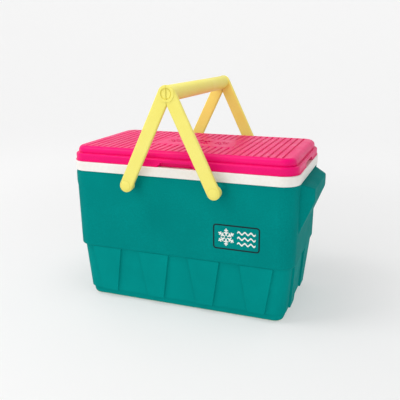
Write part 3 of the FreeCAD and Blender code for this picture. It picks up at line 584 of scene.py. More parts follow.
def settle(piece, finish_name, body, *nodes):
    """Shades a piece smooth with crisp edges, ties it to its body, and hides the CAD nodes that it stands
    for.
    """
    piece.data.shade_smooth()
    piece.data.set_sharp_from_angle(angle=SHARP_ANGLE)
    weighted = piece.modifiers.new("weighted", "WEIGHTED_NORMAL")
    weighted.keep_sharp = True
    weighted.weight = 80
    bake(piece)
    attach(piece, body)
    if nodes:
        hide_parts(*nodes)


def finished(work, name, finish_name, body, *nodes):
    """A piece that needs no more work on its mesh."""
    settle(piece_from(work, name, finish_name), finish_name, body, *nodes)


def repeat_tree(name, *vectors):
    """Geometry Nodes tree that takes a shape, a count, these vectors and a finish; and its input sockets."""
    tree = bpy.data.node_groups.new(name, "GeometryNodeTree")
    inputs = [("Shape", "Geometry"), ("Count", "Int"), *((v, "Vector") for v in vectors),
        ("Finish", "Material")]
    for label, kind in inputs:
        tree.interface.new_socket(name=label, in_out="INPUT", socket_type=f"NodeSocket{kind}")
    tree.interface.new_socket(name="Geometry", in_out="OUTPUT", socket_type="NodeSocketGeometry")
    return tree, add_node(tree, "NodeGroupInput").outputs


def place_shapes(tree, given, line, **turning):
    """Ends a tree: the shape on each point of a line, made real and given its finish."""
    placed = add_node(tree, "GeometryNodeInstanceOnPoints", {"Points": line.outputs["Mesh"],
        "Instance": given["Shape"], **turning})
    real = add_node(tree, "GeometryNodeRealizeInstances", {"Geometry": placed.outputs["Instances"]})
    coloured = add_node(tree, "GeometryNodeSetMaterial", {"Geometry": real.outputs["Geometry"],
        "Material": given["Finish"]})
    add_node(tree, "NodeGroupOutput", {"Geometry": coloured.outputs["Geometry"]})
    return tree


def row_tree():
    """Repeats a shape along a straight row."""
    tree, given = repeat_tree("row_of_shapes", "First", "Step")
    line = add_node(tree, "GeometryNodeMeshLine", {"Count": given["Count"],
        "Start Location": given["First"], "Offset": given["Step"]})
    return place_shapes(tree, given, line)


def spokes_tree():
    """Repeats a shape round a centre, like spokes."""
    tree, given = repeat_tree("spokes_of_shapes", "Centre", "Axis")
    line = add_node(tree, "GeometryNodeMeshLine", {"Count": given["Count"],
        "Start Location": given["Centre"], "Offset": (0.0, 0.0, 0.0)})
    index = add_node(tree, "GeometryNodeInputIndex").outputs["Index"]
    part = add_node(tree, "ShaderNodeMath", {0: 2 * math.pi, 1: given["Count"]}, operation="DIVIDE")
    turn = add_node(tree, "ShaderNodeMath", {0: index, 1: part.outputs[0]}, operation="MULTIPLY")
    spin = add_node(tree, "FunctionNodeAxisAngleToRotation",
        {"Axis": given["Axis"], "Angle": turn.outputs[0]})
    return place_shapes(tree, given, line, Rotation=spin.outputs[0])


def repeat(piece, tree, **values):
    """Runs a tree on a piece with these inputs, and bakes the result."""
    modifier = piece.modifiers.new("repeat", "NODES")
    modifier.node_group = tree
    for item in tree.interface.items_tree:
        if item.in_out == "INPUT" and item.name in values:
            modifier[item.identifier] = values[item.name]
    bake(piece)


def absorb(piece, others):
    """Joins other pieces' meshes into a piece and removes them."""
    work = bmesh.new()
    work.from_mesh(piece.data)
    for other in others:
        work.from_mesh(other.data)
        bpy.data.objects.remove(other)
    work.to_mesh(piece.data)
    work.free()


def cut(piece, cutter):
    """Cuts a closed shape out of a piece."""
    modifier = piece.modifiers.new("cut", "BOOLEAN")
    modifier.operation = "DIFFERENCE"
    modifier.solver = "EXACT"
    modifier.object = cutter
    bake(piece)
    bpy.data.objects.remove(cutter)


# ---- shapes of the pieces; a bare figure in a list of levels breaks or rounds an edge ----

def shell_rings(s):
    """Shell from its inner floor up, over the tongue inside the rim, and down the outside."""
    half_y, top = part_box("outer_shell")[1][1:]
    rim_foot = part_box("inner_liner")[1][2] - settings().liner.rim_skirt
    upper = Section(half_y + (s.step_length - s.step_width) / 2 - s.taper, half_y, s.corner)
    step = Section(s.step_length / 2, s.step_width / 2, s.corner)
    lower = Section(s.lower_length / 2, s.lower_width / 2, s.lower_corner)
    foot = Section(s.foot_length / 2, s.foot_width / 2, s.foot_corner)
    band = Section(s.band_length / 2, s.band_width / 2, s.band_corner)
    tongue = inset(upper, s.tongue_inset)
    wall, lip = s.wall, s.step_level + s.lip_height
    # four raised panels on each long side, two on each end
    panels = []
    for side, number in ((FRONT, 4), (RIGHT, 2), (REAR, 4), (LEFT, 2)):
        panels += [Feature(side, (i - (number - 1) / 2) * s.panel_pitch, s.panel_foot / 2, s.panel_top / 2,
            s.band_height, lip, s.panel_proud, s.panel_proud + s.panel_lean, s.panel_bevel)
            for i in range(number)]
    return stack([
        (band, wall + s.base_round, wall), (band, wall, wall + 10 * MM), (band, wall, s.band_height),
        (foot, wall, s.band_height + wall), (lower, wall, s.step_level), (step, wall, lip + wall),
        (upper, wall, rim_foot), (tongue, 1.5 * MM, top - 0.4 * MM), (tongue, 1.1 * MM, top),
        # tongue inside the rim, then the upper wall and its lip
        (tongue, 0.4 * MM, top), (tongue, 0, top - 0.4 * MM), (tongue, 0, rim_foot + 0.3 * MM),
        (tongue, -0.3 * MM, rim_foot), (upper, 0.5 * MM, rim_foot), (upper, 0, rim_foot - 0.5 * MM),
        *rounded_rim(step, s.step_level, s.lip_height, 70, 6, sign=-1),
        (step, s.lip_inset + 0.2 * MM, s.step_level),
        # lower wall with its panels, then the band and the rounded base
        (lower, 0, s.step_level - 0.1 * MM, 1.0), (foot, 0, s.band_height + 0.9 * MM, 1.0),
        (foot, 0.25 * MM, s.band_height + 0.25 * MM, 1.0), (foot, 0.9 * MM, s.band_height, 1.0),
        (band, -0.4 * MM, s.band_height), (band, 0, s.band_height - 0.4 * MM),
        *rounded_rim(band, 0.0, s.base_round, 90, 6, sign=-1)], panels)


def ledge_rings(s, side):
    """Grip ledge: sections across the chest's length, from inside the wall out to the rounded lip."""
    low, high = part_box("outer_shell")
    run = (high[0] if side > 0 else -low[0]) - s.root
    straight = 1 - 0.7 * s.rounding / run
    # distance from the root, share of the way from root to lip, and how far the lip's rounding closes in
    levels = [(-3 * MM, 0.0, 0.0), (0.0, 0.0, 0.0)]
    for step in range(7):
        angle = math.radians(90 * step / 6)
        share = between(straight, 1.0, math.sin(angle))
        levels.append((run * share, share, 0.45 * s.rounding * (1 - math.cos(angle))))
    rings = []
    for out, share, closing in levels:
        half = between(s.root_half, s.lip_half, share) - closing - s.rounding
        bottom = between(s.root_low, s.lip_low, share) + closing + s.rounding
        top = between(s.root_high, s.lip_high, share) - 0.8 * closing - s.rounding
        ring = []
        for y, z, first in ((half, bottom, -90), (half, top, 0), (-half, top, 90), (-half, bottom, 180)):
            ring += arc(Vector((y, z)), s.rounding, first, 90, 6)
        rings.append([Vector((side * (s.root + out), p.x, p.y)) for p in ring])
    return rings


def liner_rings(s):
    """Liner from its floor up to the mouth, over the rim, and back down behind."""
    low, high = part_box("inner_liner")
    top, rim_foot, base = high[2], high[2] - s.rim_skirt, low[2]
    rim = Section(high[0], high[1], s.corner)
    mouth = Section(s.mouth_length / 2, s.mouth_width / 2, s.mouth_corner)
    floor = Section(s.floor_length / 2, s.floor_width / 2, s.floor_corner)
    deck = top - s.rim_deck
    return stack([(floor, s.floor_round, base + s.wall),
        *reversed(rounded_rim(floor, base + s.wall, s.floor_round, 84, 6, sign=-1)),
        *((mouth, -out * s.mouth_round, top - down * s.mouth_round) for out,
        down in ((0, 1), (0.14, 0.48), (0.48, 0.14), (1, 0))),
        *reversed(rounded_rim(rim, top, s.rim_round)), (rim, 0, rim_foot + 0.4 * MM),
        (rim, 0.4 * MM, rim_foot), (rim, s.rim_wall - 0.3 * MM, rim_foot),
        (rim, s.rim_wall, rim_foot + 0.3 * MM), (rim, s.rim_wall, deck), (mouth, -s.wall, deck),
        (floor, -s.wall, base + s.floor_round), (floor, s.floor_round - s.wall, base)])


def notches(s, base, wall=0.0):
    """Finger notches in the lid's lower edge, one in the middle of each side, or the walls round them."""
    depth = -(s.notch_depth - 0.5 * MM if wall else s.notch_depth)
    return [Feature(side, 0.0, s.notch_half + wall, s.notch_top_half + wall, base,
        base + s.notch_height + wall, depth, depth, 0.7 * MM) for side in range(4)]


def lid_rings(s):
    """Lid from its inner roof down to the lower edge, then up the band and over the slab."""
    low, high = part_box("lid_cover")
    base, top, level = low[2], high[2], s.band_level
    band = Section(high[0], high[1], s.corner)
    slab, wall = inset(band, s.slab_inset), inset(band, s.flange_width)
    roof, flange = base + s.notch_height, base + s.flange_height
    ceiling = level - s.wall
    inside = stack([(slab, s.slab_round + 0.5 * MM, top - s.wall), (slab, s.wall, top - s.wall - 6 * MM),
        (slab, s.wall, ceiling), (band, s.wall + 2 * MM, ceiling), (band, s.wall, ceiling - 2 * MM),
        (band, s.wall, roof + s.notch_wall), (band, s.wall, roof + s.notch_wall, 1.0),
        (band, s.wall, base + 0.3 * MM, 1.0), (band, s.wall - 0.3 * MM, base, 1.0)],
        notches(s, base, s.notch_wall))
    return inside + stack([
        # a thin flange at the foot, then the band with the notches
        (band, 0.5 * MM, base, 1.0), (band, 0.1 * MM, base + 0.2 * MM, 1.0), (band, 0, base + 0.5 * MM, 1.0),
        (band, 0, flange - 0.4 * MM, 1.0), (band, 0.4 * MM, flange, 1.0),
        (wall, -0.1 * MM, flange + 0.1 * MM, 1.0), (wall, 0, flange + 0.4 * MM, 1.0),
        (wall, 0, roof - 0.3 * MM, 0.97), (wall, 0, roof, 0.9),
        (wall, 0, roof, 0.1), (wall, 0, roof + 0.25 * MM, 0.03), (wall, 0, roof + 0.9 * MM),
        *rounded_rim(wall, level, s.band_round, 86, 8),
        # the slab rises from the band's flat top out of a fine channel
        (slab, -0.3 * MM, level + 0.02 * MM), (slab, 0.6 * MM, level + 0.05 * MM),
        (slab, 0.9 * MM, level + 0.5 * MM), (slab, 0.6 * MM, level + 1.5 * MM),
        (slab, 0.1 * MM, level + 2.6 * MM),
        *rounded_rim(slab, top, s.slab_round, 90, 10)], notches(s, base))


def pan_rings(s):
    """Pan under the lid: a flange round a shallow plug."""
    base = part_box("lid_cover")[0][2]
    low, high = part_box("lid_pan")
    bottom, top, wall = low[2], high[2], s.pan_wall
    flange = Section(high[0], high[1], s.pan_corner)
    plug = Section(s.plug_half_length, s.plug_half_width, s.plug_corner)
    return stack([(plug, wall + 5 * MM, bottom + wall), (plug, wall, bottom + wall + 4 * MM),
        (plug, wall, top - 0.3 * MM), (plug, wall - 0.3 * MM, top), (flange, 0.3 * MM, top, 1.0),
        (flange, 0, top - 0.3 * MM, 1.0), (flange, 0, top - wall + 0.3 * MM, 1.0),
        (flange, 0.3 * MM, top - wall, 1.0), (plug, -2 * MM, top - wall),
        (plug, -0.6 * MM, top - wall - 0.6 * MM), (plug, 0, top - wall - 2 * MM),
        *rounded_rim(plug, bottom, s.plug_round, 90, 6, sign=-1)],
        notches(s, base, s.notch_wall + s.pan_gap))


def flake_arm(half_width, hub, reach, barbs, sweep=60.0):
    """Outline of a snowflake's arm along the second axis, with a pair of barbs at each (root, size)."""
    out, up = math.sin(math.radians(sweep)), math.cos(math.radians(sweep))
    thick = 2 * half_width * 0.85
    right = [(half_width, hub)]
    for root, size in barbs:
        right += [(half_width, root), (half_width + size * out, root + size * up),
            (half_width + size * out - thick * up, root + size * up + thick * out),
            (half_width, root + thick / out)]
    right.append((half_width, reach - half_width))
    return right + [(0.0, reach)] + [(-x, y) for x, y in reversed(right)]


def snowflake(piece, finish_name, axis):
    """Turns one arm into six round the centre."""
    repeat(piece, spokes_tree(), Count=6, Centre=(0.0, 0.0, 0.0), Axis=axis,
        Finish=material_for(finish_name))
    return piece


def flake_cutter(size, x, depth, top):
    """Closed engraving tool in the shape of a snowflake, on the lid's plate."""
    barbs = ((0.38 * size, 0.26 * size), (0.64 * size, 0.2 * size))
    outline = flake_arm(0.065 * size, 0.15 * size, size, barbs)
    rings = [[Vector((p[0], p[1], z)) for p in outline] for z in (-depth, 0.6 * MM)]
    cutter = piece_from(skin(bmesh.new(), rings), "cutter_flake", "pink_plastic")
    snowflake(cutter, "pink_plastic", (0.0, 0.0, 1.0))
    cutter.data.transform(Matrix.Translation((x, 0.0, top)))
    return cutter


def groove_cutter(half_length, half_width, depth, top):
    """Closed trough with round ends and a chamfered lip, lying along Y."""
    rings = []
    for share, drop in ((1.1, -0.6 * MM), (1.1, -0.02 * MM), (0.86, 0.2 * depth), (0.7, 0.7 * depth),
            (0.35, depth)):
        ring = []
        for centre, first in ((half_length - half_width, 0), (half_width - half_length, 180)):
            ring += arc(Vector((0.0, centre)), half_width * share, first, 180, 8)
        rings.append([Vector((p.x, p.y, top - drop)) for p in ring])
    return piece_from(skin(bmesh.new(), rings), "cutter_groove", "pink_plastic")


def plate_cutters(s, top):
    """Grooves beside the plate, short ones before and behind it, the line round it, and its snowflakes."""
    tree = row_tree()
    pitch, beside = s.groove_pitch, s.grooves_each_side
    middle = 2 * int(s.plate_half_length / pitch) + 1
    first, last = (middle + 1) / 2 * pitch, (middle - 1) / 2 * pitch
    short = (s.groove_reach - s.plate_half_width - s.plate_margin) / 2
    away = s.groove_reach - short
    cutters = []
    for half_length, number, x, y in ((s.groove_reach, beside, -first - (beside - 1) * pitch, 0.0),
            (s.groove_reach, beside, first, 0.0), (short, middle, -last, -away),
            (short, middle, -last, away)):
        cutter = groove_cutter(half_length, s.groove_width / 2, s.groove_depth, top)
        repeat(cutter, tree, Count=number, First=(x, y, 0.0), Step=(pitch, 0.0, 0.0),
            Finish=material_for("pink_plastic"))
        cutters.append(cutter)
    for size, x in ((s.flake_small, -s.flake_offset), (s.flake_large, 0.0),
            (s.flake_small, s.flake_offset)):
        cutters.append(flake_cutter(size, x, s.flake_depth, top))
    plate = Section(s.plate_half_length, s.plate_half_width, s.plate_corner)
    line = [(-1.0, 0.6), (-1.0, 0.0), (-0.45, -0.7), (0.45, -0.7), (1.0, 0.0), (1.0, 0.6)]
    rings = stack([(plate, d * MM, top + up * MM) for d, up in line])
    cutter = piece_from(skin(bmesh.new(), rings, loop=True), "cutter_plate", "pink_plastic")
    absorb(cutter, cutters)
    return cutter


def arm_outline(s):
    """Left handle's arm in (x, z): round end at the pivot, parallel edges, and a top that meets the seam."""
    pivot = Vector((-s.pivot_offset, s.pivot_height))
    apex = Vector((-s.seam_gap, s.apex_height))
    top = s.grip_height + s.grip_radius
    reach = apex - pivot
    lean = math.degrees(math.atan2(reach.y, reach.x) + math.asin(s.end_radius / reach.length))
    along = Vector((math.cos(math.radians(lean)), math.sin(math.radians(lean))))
    across = Vector((-along.y, along.x))
    outer = across.dot(pivot) + s.end_radius
    # the top arc touches the outer edge and is level at the seam
    top_radius = (outer - across.dot(Vector((apex.x, top)))) / (1 - across.y)
    top_centre = Vector((apex.x, top - top_radius))
    return arc(top_centre, top_radius, 90, lean, 14) + arc(pivot, s.end_radius, 90 + lean, 180, 24) + [apex]


def shrink(points, d, most):
    """The outline with each edge moved inwards by d, but the seam's edge, the last, by no more than most."""
    moved = []
    for i, point in enumerate(points):
        before = (point - points[i - 1]).normalized()
        after = (points[(i + 1) % len(points)] - point).normalized()
        n1, n2 = Vector((-before.y, before.x)), Vector((-after.y, after.x))
        d1 = min(d, most) if i == 0 else d
        d2 = min(d, most) if i == len(points) - 1 else d
        turn = n1.x * n2.y - n1.y * n2.x
        if abs(turn) < 0.3:
            moved.append(point + (n1 + n2) * (d1 / (1 + n1.dot(n2))))
        else:
            moved.append(point + Vector((d1 * n2.y - d2 * n1.y, d2 * n1.x - d1 * n2.x)) / turn)
    return moved


def along_y(outlines):
    """Rings across the Y axis from (outline in x and z, y)."""
    return [[Vector((p[0], y, p[1])) for p in outline] for outline, y in outlines]


def add_arm(work, s, side):
    """One arm, with rounded edges on both faces."""
    inner, r = s.arm_face - s.arm_thickness, s.arm_round
    angles = [math.radians(90 * step / 5) for step in range(6)]
    rows = [(r * (1 - math.sin(a)), inner + r * (1 - math.cos(a))) for a in angles]
    rows += [(d, inner + s.arm_face - y) for d, y in reversed(rows)]
    outline = arm_outline(s)
    skin(work, along_y((shrink(outline, d, s.seam_ease), side * y) for d, y in rows))


def add_grip(work, s):
    """Half-round hollow grip, open towards the seam, with eased lips."""
    centre = Vector((-s.seam_gap, s.grip_height))
    outer, inner, ease = s.grip_radius, s.grip_radius - s.grip_wall, 0.5 * MM
    lips = [[centre + Vector((0, z)) for z in pair] for pair in ((ease - outer, -inner - ease),
        (inner + ease, outer - ease))]
    section = arc(centre, outer, 92, 176, 24) + lips[0] + arc(centre, inner, 268, -176, 24) + lips[1]
    half = s.arm_face - s.arm_thickness + 1.5 * MM
    skin(work, along_y(((section, -half), (section, half))))


def add_end_ring(work, s, side):
    """Raised half ring round the recess, with rounded edges."""
    top, root = s.arm_face + s.ring_height, s.arm_face - 1.0 * MM
    inner, outer = s.recess_radius, s.ring_radius
    profile = [(inner, root), (inner, top - 0.6 * MM), (inner + 0.2 * MM, top - 0.15 * MM),
        (inner + 0.7 * MM, top), (outer - 0.8 * MM, top), (outer - 0.25 * MM, top - 0.2 * MM),
        (outer, top - 0.7 * MM), (outer, root)]
    lathe(work, profile, (-s.seam_gap, 0.0, s.grip_height), side, 32, 0.0 if side < 0 else 180.0, 180.0)


def add_pivot_cap(work, s, side):
    """Low domed cap over the pin."""
    face, rise, edge = s.arm_face, s.ring_height - 0.1 * MM, s.cap_radius - 0.02 * MM
    profile = [(0.0, face - 0.6 * MM), (edge, face - 0.6 * MM), (edge, face)]
    for step in range(1, 8):
        angle = math.radians(90 * step / 7)
        profile.append((edge * math.cos(angle) if step < 7 else 0.0,
            face + rise * (1 - (1 - math.sin(angle)) ** 0.8)))
    lathe(work, profile, (-s.pivot_offset, 0.0, s.pivot_height), side, 36)


def recess_cutter(s):
    """Round cutter for the recesses in the grip's ends and the fine grooves round the caps."""
    work = bmesh.new()
    face, top = s.arm_face, s.arm_face + s.ring_height
    floor, hub_top, above = top - s.recess_depth, top - s.hub_drop, top + 2 * MM
    rim, hub, cap = s.recess_radius, s.hub_radius, s.cap_radius
    recess = [(0.0, hub_top), (hub - 1.0 * MM, hub_top), (hub - 0.3 * MM, hub_top - 0.3 * MM),
        (hub, hub_top - 1.0 * MM), (hub + 0.1 * MM, floor), (rim - 0.7 * MM, floor),
        (rim, floor + 0.7 * MM), (rim, above), (0.0, above)]
    groove = [(cap, face - 0.5 * MM), (cap + 0.5 * MM, face - 0.5 * MM), (cap + 1.0 * MM, face + 2 * MM),
        (cap, face + 2 * MM)]
    for side in (-1, 1):
        lathe(work, recess, (-s.seam_gap, 0.0, s.grip_height), side)
        lathe(work, groove, (-s.pivot_offset, 0.0, s.pivot_height), side)
    return piece_from(work, "cutter_recess", "yellow_plastic")


def rib_row(s):
    """Half-round ribs that fill the grip's hollow, set a little back from the seam."""
    centre = Vector((-s.seam_gap - 0.4 * MM, s.grip_height))
    section = arc(centre, s.grip_radius - s.grip_wall + 0.6 * MM, 90, 180, 20)
    half = s.rib_thickness / 2
    ribs = piece_from(skin(bmesh.new(), along_y(((section, -half), (section, half)))), "ribs",
        "yellow_plastic")
    span = 2 * (s.arm_face - s.arm_thickness)
    pitch = span / (s.rib_count + 1)
    repeat(ribs, row_tree(), Count=s.rib_count, First=(0.0, -span / 2 + pitch, 0.0), Step=(0.0, pitch, 0.0),
        Finish=material_for("yellow_plastic"))
    return ribs


def washer(inner, radius, near, far, edge):
    """Profile of a plain turned piece with chamfered edges."""
    return [(inner, near), (radius - edge, near), (radius, near + edge), (radius, far - edge),
        (radius - edge, far), (inner, far)]


def pivot_pieces(s, corner, handle):
    """Each pivot piece's kind, finish, body and profile, from its CAD node's own extent along the pivot."""
    extents = []
    for kind in ("pivot_post", "pivot_bush", "pivot_pin", "retaining_clip"):
        low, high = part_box(f"{kind}_{corner}")
        near, far = sorted((abs(low[1]), abs(high[1])))
        radius = (high[0] - low[0]) / 2
        rounded_end = [(radius, far - 1.0 * MM), (radius - 0.3 * MM, far - 0.3 * MM),
            (radius - 1.0 * MM, far)]
        extents.append((near, far, radius, rounded_end))
    near, far, radius, rounded_end = extents[0]
    # the post flares out where it meets the wall
    flare = [(radius + out * MM, s.seat + along * MM) for out,
        along in ((3.4, -1.5), (1.6, 1.6), (0.4, 4.0), (0.0, 7.0))]
    yield "pivot_post", "teal_plastic", "cooler", [(s.sleeve, near), (s.spigot, near), (s.spigot, s.seat),
        *flare, *rounded_end, (s.sleeve, far)]
    near, far, radius, rounded_end = extents[1]
    yield "pivot_bush", "yellow_plastic", "cooler", [(s.pin_hole, near), (s.sleeve, near),
        (s.sleeve, s.flange_seat), (radius - 0.8 * MM, s.flange_seat), (radius, s.flange_seat + 0.8 * MM),
        *rounded_end, (s.pin_hole, far)]
    near, far, radius, _ = extents[2]
    yield "pivot_pin", "steel", handle, washer(0.0, radius, near, far, 0.6 * MM)
    near, far, radius, _ = extents[3]
    yield "retaining_clip", "steel", handle, washer(s.clip_hole, radius, near, far, 0.2 * MM)


def badge_place(chest):
    """Where the badge lies flat on the shell's leaning front wall."""
    s, shell = chest.badge, chest.shell
    lip = shell.step_level + shell.lip_height
    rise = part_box("inner_liner")[1][2] - chest.liner.rim_skirt - lip
    half_low, half_high = shell.step_width / 2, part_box("outer_shell")[1][1]
    lean = math.atan2(half_high - half_low, rise)
    wall = between(half_low, half_high, (s.level - lip) / rise)
    return Matrix.Translation((s.centre, -wall, s.level)) @ Matrix.Rotation(lean, 4, "X")


def printed(work, ink, outer, inner=None):
    """A printed area: a closed outline, or the band between two outlines with as many points."""
    front, back = -ink, 0.3 * MM
    if inner is None:
        return skin(work, along_y(((outer, back), (outer, front))))
    return skin(work, along_y(((outer, back), (outer, front), (inner, front), (inner, back))), loop=True)


def wave(s, level):
    """Outline of one wave line."""
    upper, lower = [], []
    for step in range(41):
        x = between(s.wave_start, s.wave_end, step / 40)
        z = level + s.wave_swing * math.sin((x - s.wave_start) / s.wave_length * 2 * math.pi)
        upper.append((x, z + s.wave_line))
        lower.append((x, z - s.wave_line))
    return lower + upper[::-1]


# ---- the operators ----

class ICECHEST_OT_shell(bpy.types.Operator):
    """Builds the teal shell with its step, raised panels, base band and end ledges"""
    bl_idname = "ice_chest.shell"
    bl_label = "Shell"

    def execute(self, context):
        chest = settings()
        work = skin(bmesh.new(), shell_rings(chest.shell))
        for side in (-1, 1):
            skin(work, ledge_rings(chest.ledge, side))
        finished(work, "shell", "teal_plastic", "cooler", "outer_shell")
        return {"FINISHED"}


class ICECHEST_OT_liner(bpy.types.Operator):
    """Builds the white liner: rim, deck, mouth and basin"""
    bl_idname = "ice_chest.liner"
    bl_label = "Liner"

    def execute(self, context):
        finished(skin(bmesh.new(), liner_rings(settings().liner)), "liner", "white_plastic", "cooler",
            "inner_liner")
        return {"FINISHED"}


class ICECHEST_OT_lid(bpy.types.Operator):
    """Builds the pink lid: band, grooved slab, finger notches and the pan that plugs the mouth"""
    bl_idname = "ice_chest.lid"
    bl_label = "Lid"

    def execute(self, context):
        s = settings().lid
        cover = piece_from(skin(bmesh.new(), lid_rings(s)), "lid_cover_moulded", "pink_plastic")
        cut(cover, plate_cutters(s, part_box("lid_cover")[1][2]))
        settle(cover, "pink_plastic", "lid", "lid_cover")
        finished(skin(bmesh.new(), pan_rings(s)), "lid_pan_formed", "white_plastic", "lid", "lid_pan")
        return {"FINISHED"}


class ICECHEST_OT_handles(bpy.types.Operator):
    """Builds the two yellow bail handles"""
    bl_idname = "ice_chest.handles"
    bl_label = "Handles"

    def execute(self, context):
        s = settings().handle
        for body, turn in (("left_handle", 0.0), ("right_handle", 180.0)):
            arms, details = bmesh.new(), bmesh.new()
            add_grip(details, s)
            for side in (-1, 1):
                add_arm(arms, s, side)
                add_end_ring(details, s, side)
                add_pivot_cap(details, s, side)
            handle = piece_from(arms, f"{body}_moulded", "yellow_plastic")
            cut(handle, recess_cutter(s))
            absorb(handle, [piece_from(details, "details", "yellow_plastic"), rib_row(s)])
            handle.data.transform(Matrix.Rotation(math.radians(turn), 4, "Z"))
            settle(handle, "yellow_plastic", body, body)
        return {"FINISHED"}


class ICECHEST_OT_pivots(bpy.types.Operator):
    """Builds the posts, bushes, pins and clips of the four pivots"""
    bl_idname = "ice_chest.pivots"
    bl_label = "Pivots"

    def execute(self, context):
        s, handle = settings().pivot, settings().handle
        for end_x, side_x in (("left", -1), ("right", 1)):
            place = (side_x * handle.pivot_offset, 0.0, handle.pivot_height)
            for end_y, side_y in (("front", -1), ("rear", 1)):
                corner = f"{end_y}_{end_x}"
                for kind, finish_name, body, profile in pivot_pieces(s, corner, f"{end_x}_handle"):
                    finished(lathe(bmesh.new(), profile, place, side_y), f"{kind}_{corner}_turned",
                        finish_name, body, f"{kind}_{corner}")
        return {"FINISHED"}


class ICECHEST_OT_badge(bpy.types.Operator):
    """Builds the printed badge: a dark rounded frame with a snowflake and three waves"""
    bl_idname = "ice_chest.badge"
    bl_label = "Badge"

    def execute(self, context):
        s = settings().badge
        place = badge_place(settings())
        outer = Section(s.frame_length / 2, s.frame_height / 2, s.frame_corner)
        frame_lines = (wall_ring(section, 0.0) for section in (outer, inset(outer, s.line)))
        work = printed(bmesh.new(), s.ink, *frame_lines)
        work.transform(place)
        finished(work, "badge_frame", "ink_dark", "cooler")

        arm = flake_arm(s.flake_line, s.flake_hub, s.flake_reach,
            ((6.5 * MM, 4.0 * MM), (11.0 * MM, 3.2 * MM)))
        motif = piece_from(printed(bmesh.new(), s.ink, arm), "badge_motif", "ink_white")
        snowflake(motif, "ink_white", (0.0, 1.0, 0.0))
        motif.data.transform(Matrix.Translation((-s.flake_offset, 0.0, 0.0)))
        work = bmesh.new()
        for level in (s.wave_pitch, 0.0, -s.wave_pitch):
            printed(work, s.ink, wave(s, level))
        absorb(motif, [piece_from(work, "waves", "ink_white")])
        motif.data.transform(place)
        settle(motif, "ink_white", "cooler")
        return {"FINISHED"}


class ICECHEST_OT_hidden(bpy.types.Operator):
    """Gives the foam inside the walls and the lid its finish"""
    bl_idname = "ice_chest.hidden"
    bl_label = "Foam"

    def execute(self, context):
        for node in ("body_insulation", "lid_insulation"):
            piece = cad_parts[node]
            if not piece.material_slots:
                raise RuntimeError(f"{node} has no material slot")
            for slot in piece.material_slots:
                slot.material = material_for("foam")
        return {"FINISHED"}


# in metres: where the flat floor ends, the radius of the bend up into the wall, and the wall's top
FLOOR_RADIUS, FLOOR_BEND, WALL_TOP = 2.6, 1.6, 3.4
# name, place and size in metres of each light; all face a point inside the chest
LIGHTS = (("key", (-1.05, -0.78, 2.0), 0.8), ("fill", (-0.1, -1.9, 0.9), 1.4),
    ("top", (-0.05, -0.14, 0.95), 0.35))
LIT_POINT = Vector((0.0, 0.0, 0.2))


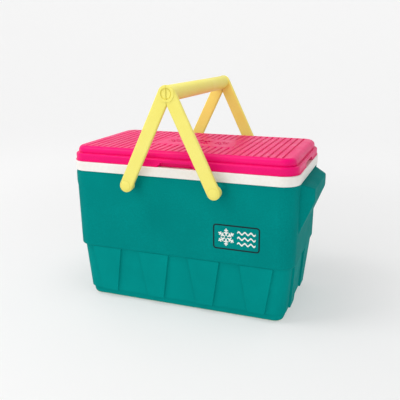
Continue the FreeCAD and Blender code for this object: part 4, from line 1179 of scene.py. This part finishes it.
class ICECHEST_OT_stage(bpy.types.Operator):
    """Builds the pale floor, the soft lights and the camera"""
    bl_idname = "ice_chest.stage"
    bl_label = "Stage"

    def execute(self, context):
        self.floor()
        self.lights(context.scene)
        self.camera(context.scene)
        context.scene.view_settings.view_transform = "Standard"
        return {"FINISHED"}

    def floor(self):
        """Round floor whose edge curves up into a wall all the way round."""
        bend = (math.radians(a) for a in range(6, 91, 6))
        profile = [(0.0, 0.0), (FLOOR_RADIUS, 0.0)]
        profile += [(FLOOR_RADIUS + FLOOR_BEND * math.sin(a), FLOOR_BEND * (1 - math.cos(a))) for a in bend]
        profile.append((FLOOR_RADIUS + FLOOR_BEND, WALL_TOP))
        spokes = [2 * math.pi * step / 64 for step in range(64)]
        rings = [[(r * math.cos(a), r * math.sin(a), z) for r, z in reversed(profile)] for a in spokes]
        floor = piece_from(skin(bmesh.new(), rings, loop=True, open_rings=True), "studio_floor", "paper",
            closed=False)
        floor.data.shade_smooth()

    def lights(self, scene):
        stage = settings().stage
        world = bpy.data.worlds.new("studio_air")
        world.use_nodes = True
        tree = world.node_tree
        tree.nodes.clear()
        air = add_node(tree, "ShaderNodeBackground", {"Color": (1.0, 1.0, 1.0, 1.0), "Strength": stage.air})
        add_node(tree, "ShaderNodeOutputWorld", {"Surface": air.outputs["Background"]})
        scene.world = world
        for name, place, size in LIGHTS:
            light = bpy.data.lights.new(f"{name}_light", "AREA")
            light.size = size
            light.energy = getattr(stage, name)
            lamp = bpy.data.objects.new(f"{name}_light", light)
            lamp.location = place
            lamp.rotation_euler = (LIT_POINT - Vector(place)).to_track_quat("-Z", "Y").to_euler()
            bpy.context.collection.objects.link(lamp)

    def camera(self, scene):
        away = Vector((math.sin(CAMERA_AZIMUTH) * math.cos(CAMERA_ELEVATION),
            -math.cos(CAMERA_AZIMUTH) * math.cos(CAMERA_ELEVATION), math.sin(CAMERA_ELEVATION)))
        data = bpy.data.cameras.new("camera")
        data.sensor_width = 36.0
        data.lens = CAMERA_LENS
        data.clip_start = 0.01
        camera = bpy.data.objects.new("camera", data)
        camera.location = CAMERA_TARGET + away * CAMERA_DISTANCE
        roll = Matrix.Rotation(CAMERA_ROLL, 3, "Z").to_quaternion()
        camera.rotation_euler = ((-away).to_track_quat("-Z", "Y") @ roll).to_euler()
        bpy.context.collection.objects.link(camera)
        scene.camera = camera


OPERATORS = (ICECHEST_OT_shell, ICECHEST_OT_liner, ICECHEST_OT_lid, ICECHEST_OT_handles, ICECHEST_OT_pivots,
    ICECHEST_OT_badge, ICECHEST_OT_hidden, ICECHEST_OT_stage)


class ICECHEST_PT_sidebar(bpy.types.Panel):
    """Lists the pieces and their settings"""
    bl_label = "Ice Chest"
    bl_idname = "ICECHEST_PT_sidebar"
    bl_space_type = "VIEW_3D"
    bl_region_type = "UI"
    bl_category = "Ice Chest"

    def draw(self, context):
        for operator in OPERATORS:
            self.layout.operator(operator.bl_idname)
        for group in ChestSettings.__annotations__:
            box = self.layout.box()
            box.label(text=group.capitalize())
            owner = getattr(context.scene.ice_chest, group)
            for name in owner.__annotations__:
                box.prop(owner, name)


CLASSES = (ShellSizes, LedgeSizes, LinerSizes, LidSizes, HandleSizes, PivotSizes, BadgeSizes, Finishes,
    StageSettings, ChestSettings, *OPERATORS, ICECHEST_PT_sidebar)


def register():
    for cls in CLASSES:
        bpy.utils.register_class(cls)
    bpy.types.Scene.ice_chest = PointerProperty(type=ChestSettings, name="Ice chest",
        description="Settings of the ice chest")


def unregister():
    del bpy.types.Scene.ice_chest
    for cls in reversed(CLASSES):
        bpy.utils.unregister_class(cls)


def main():
    register()
    for operator in OPERATORS:
        group, name = operator.bl_idname.split(".")
        getattr(getattr(bpy.ops, group), name)()


if __name__ == "__main__":
    main()
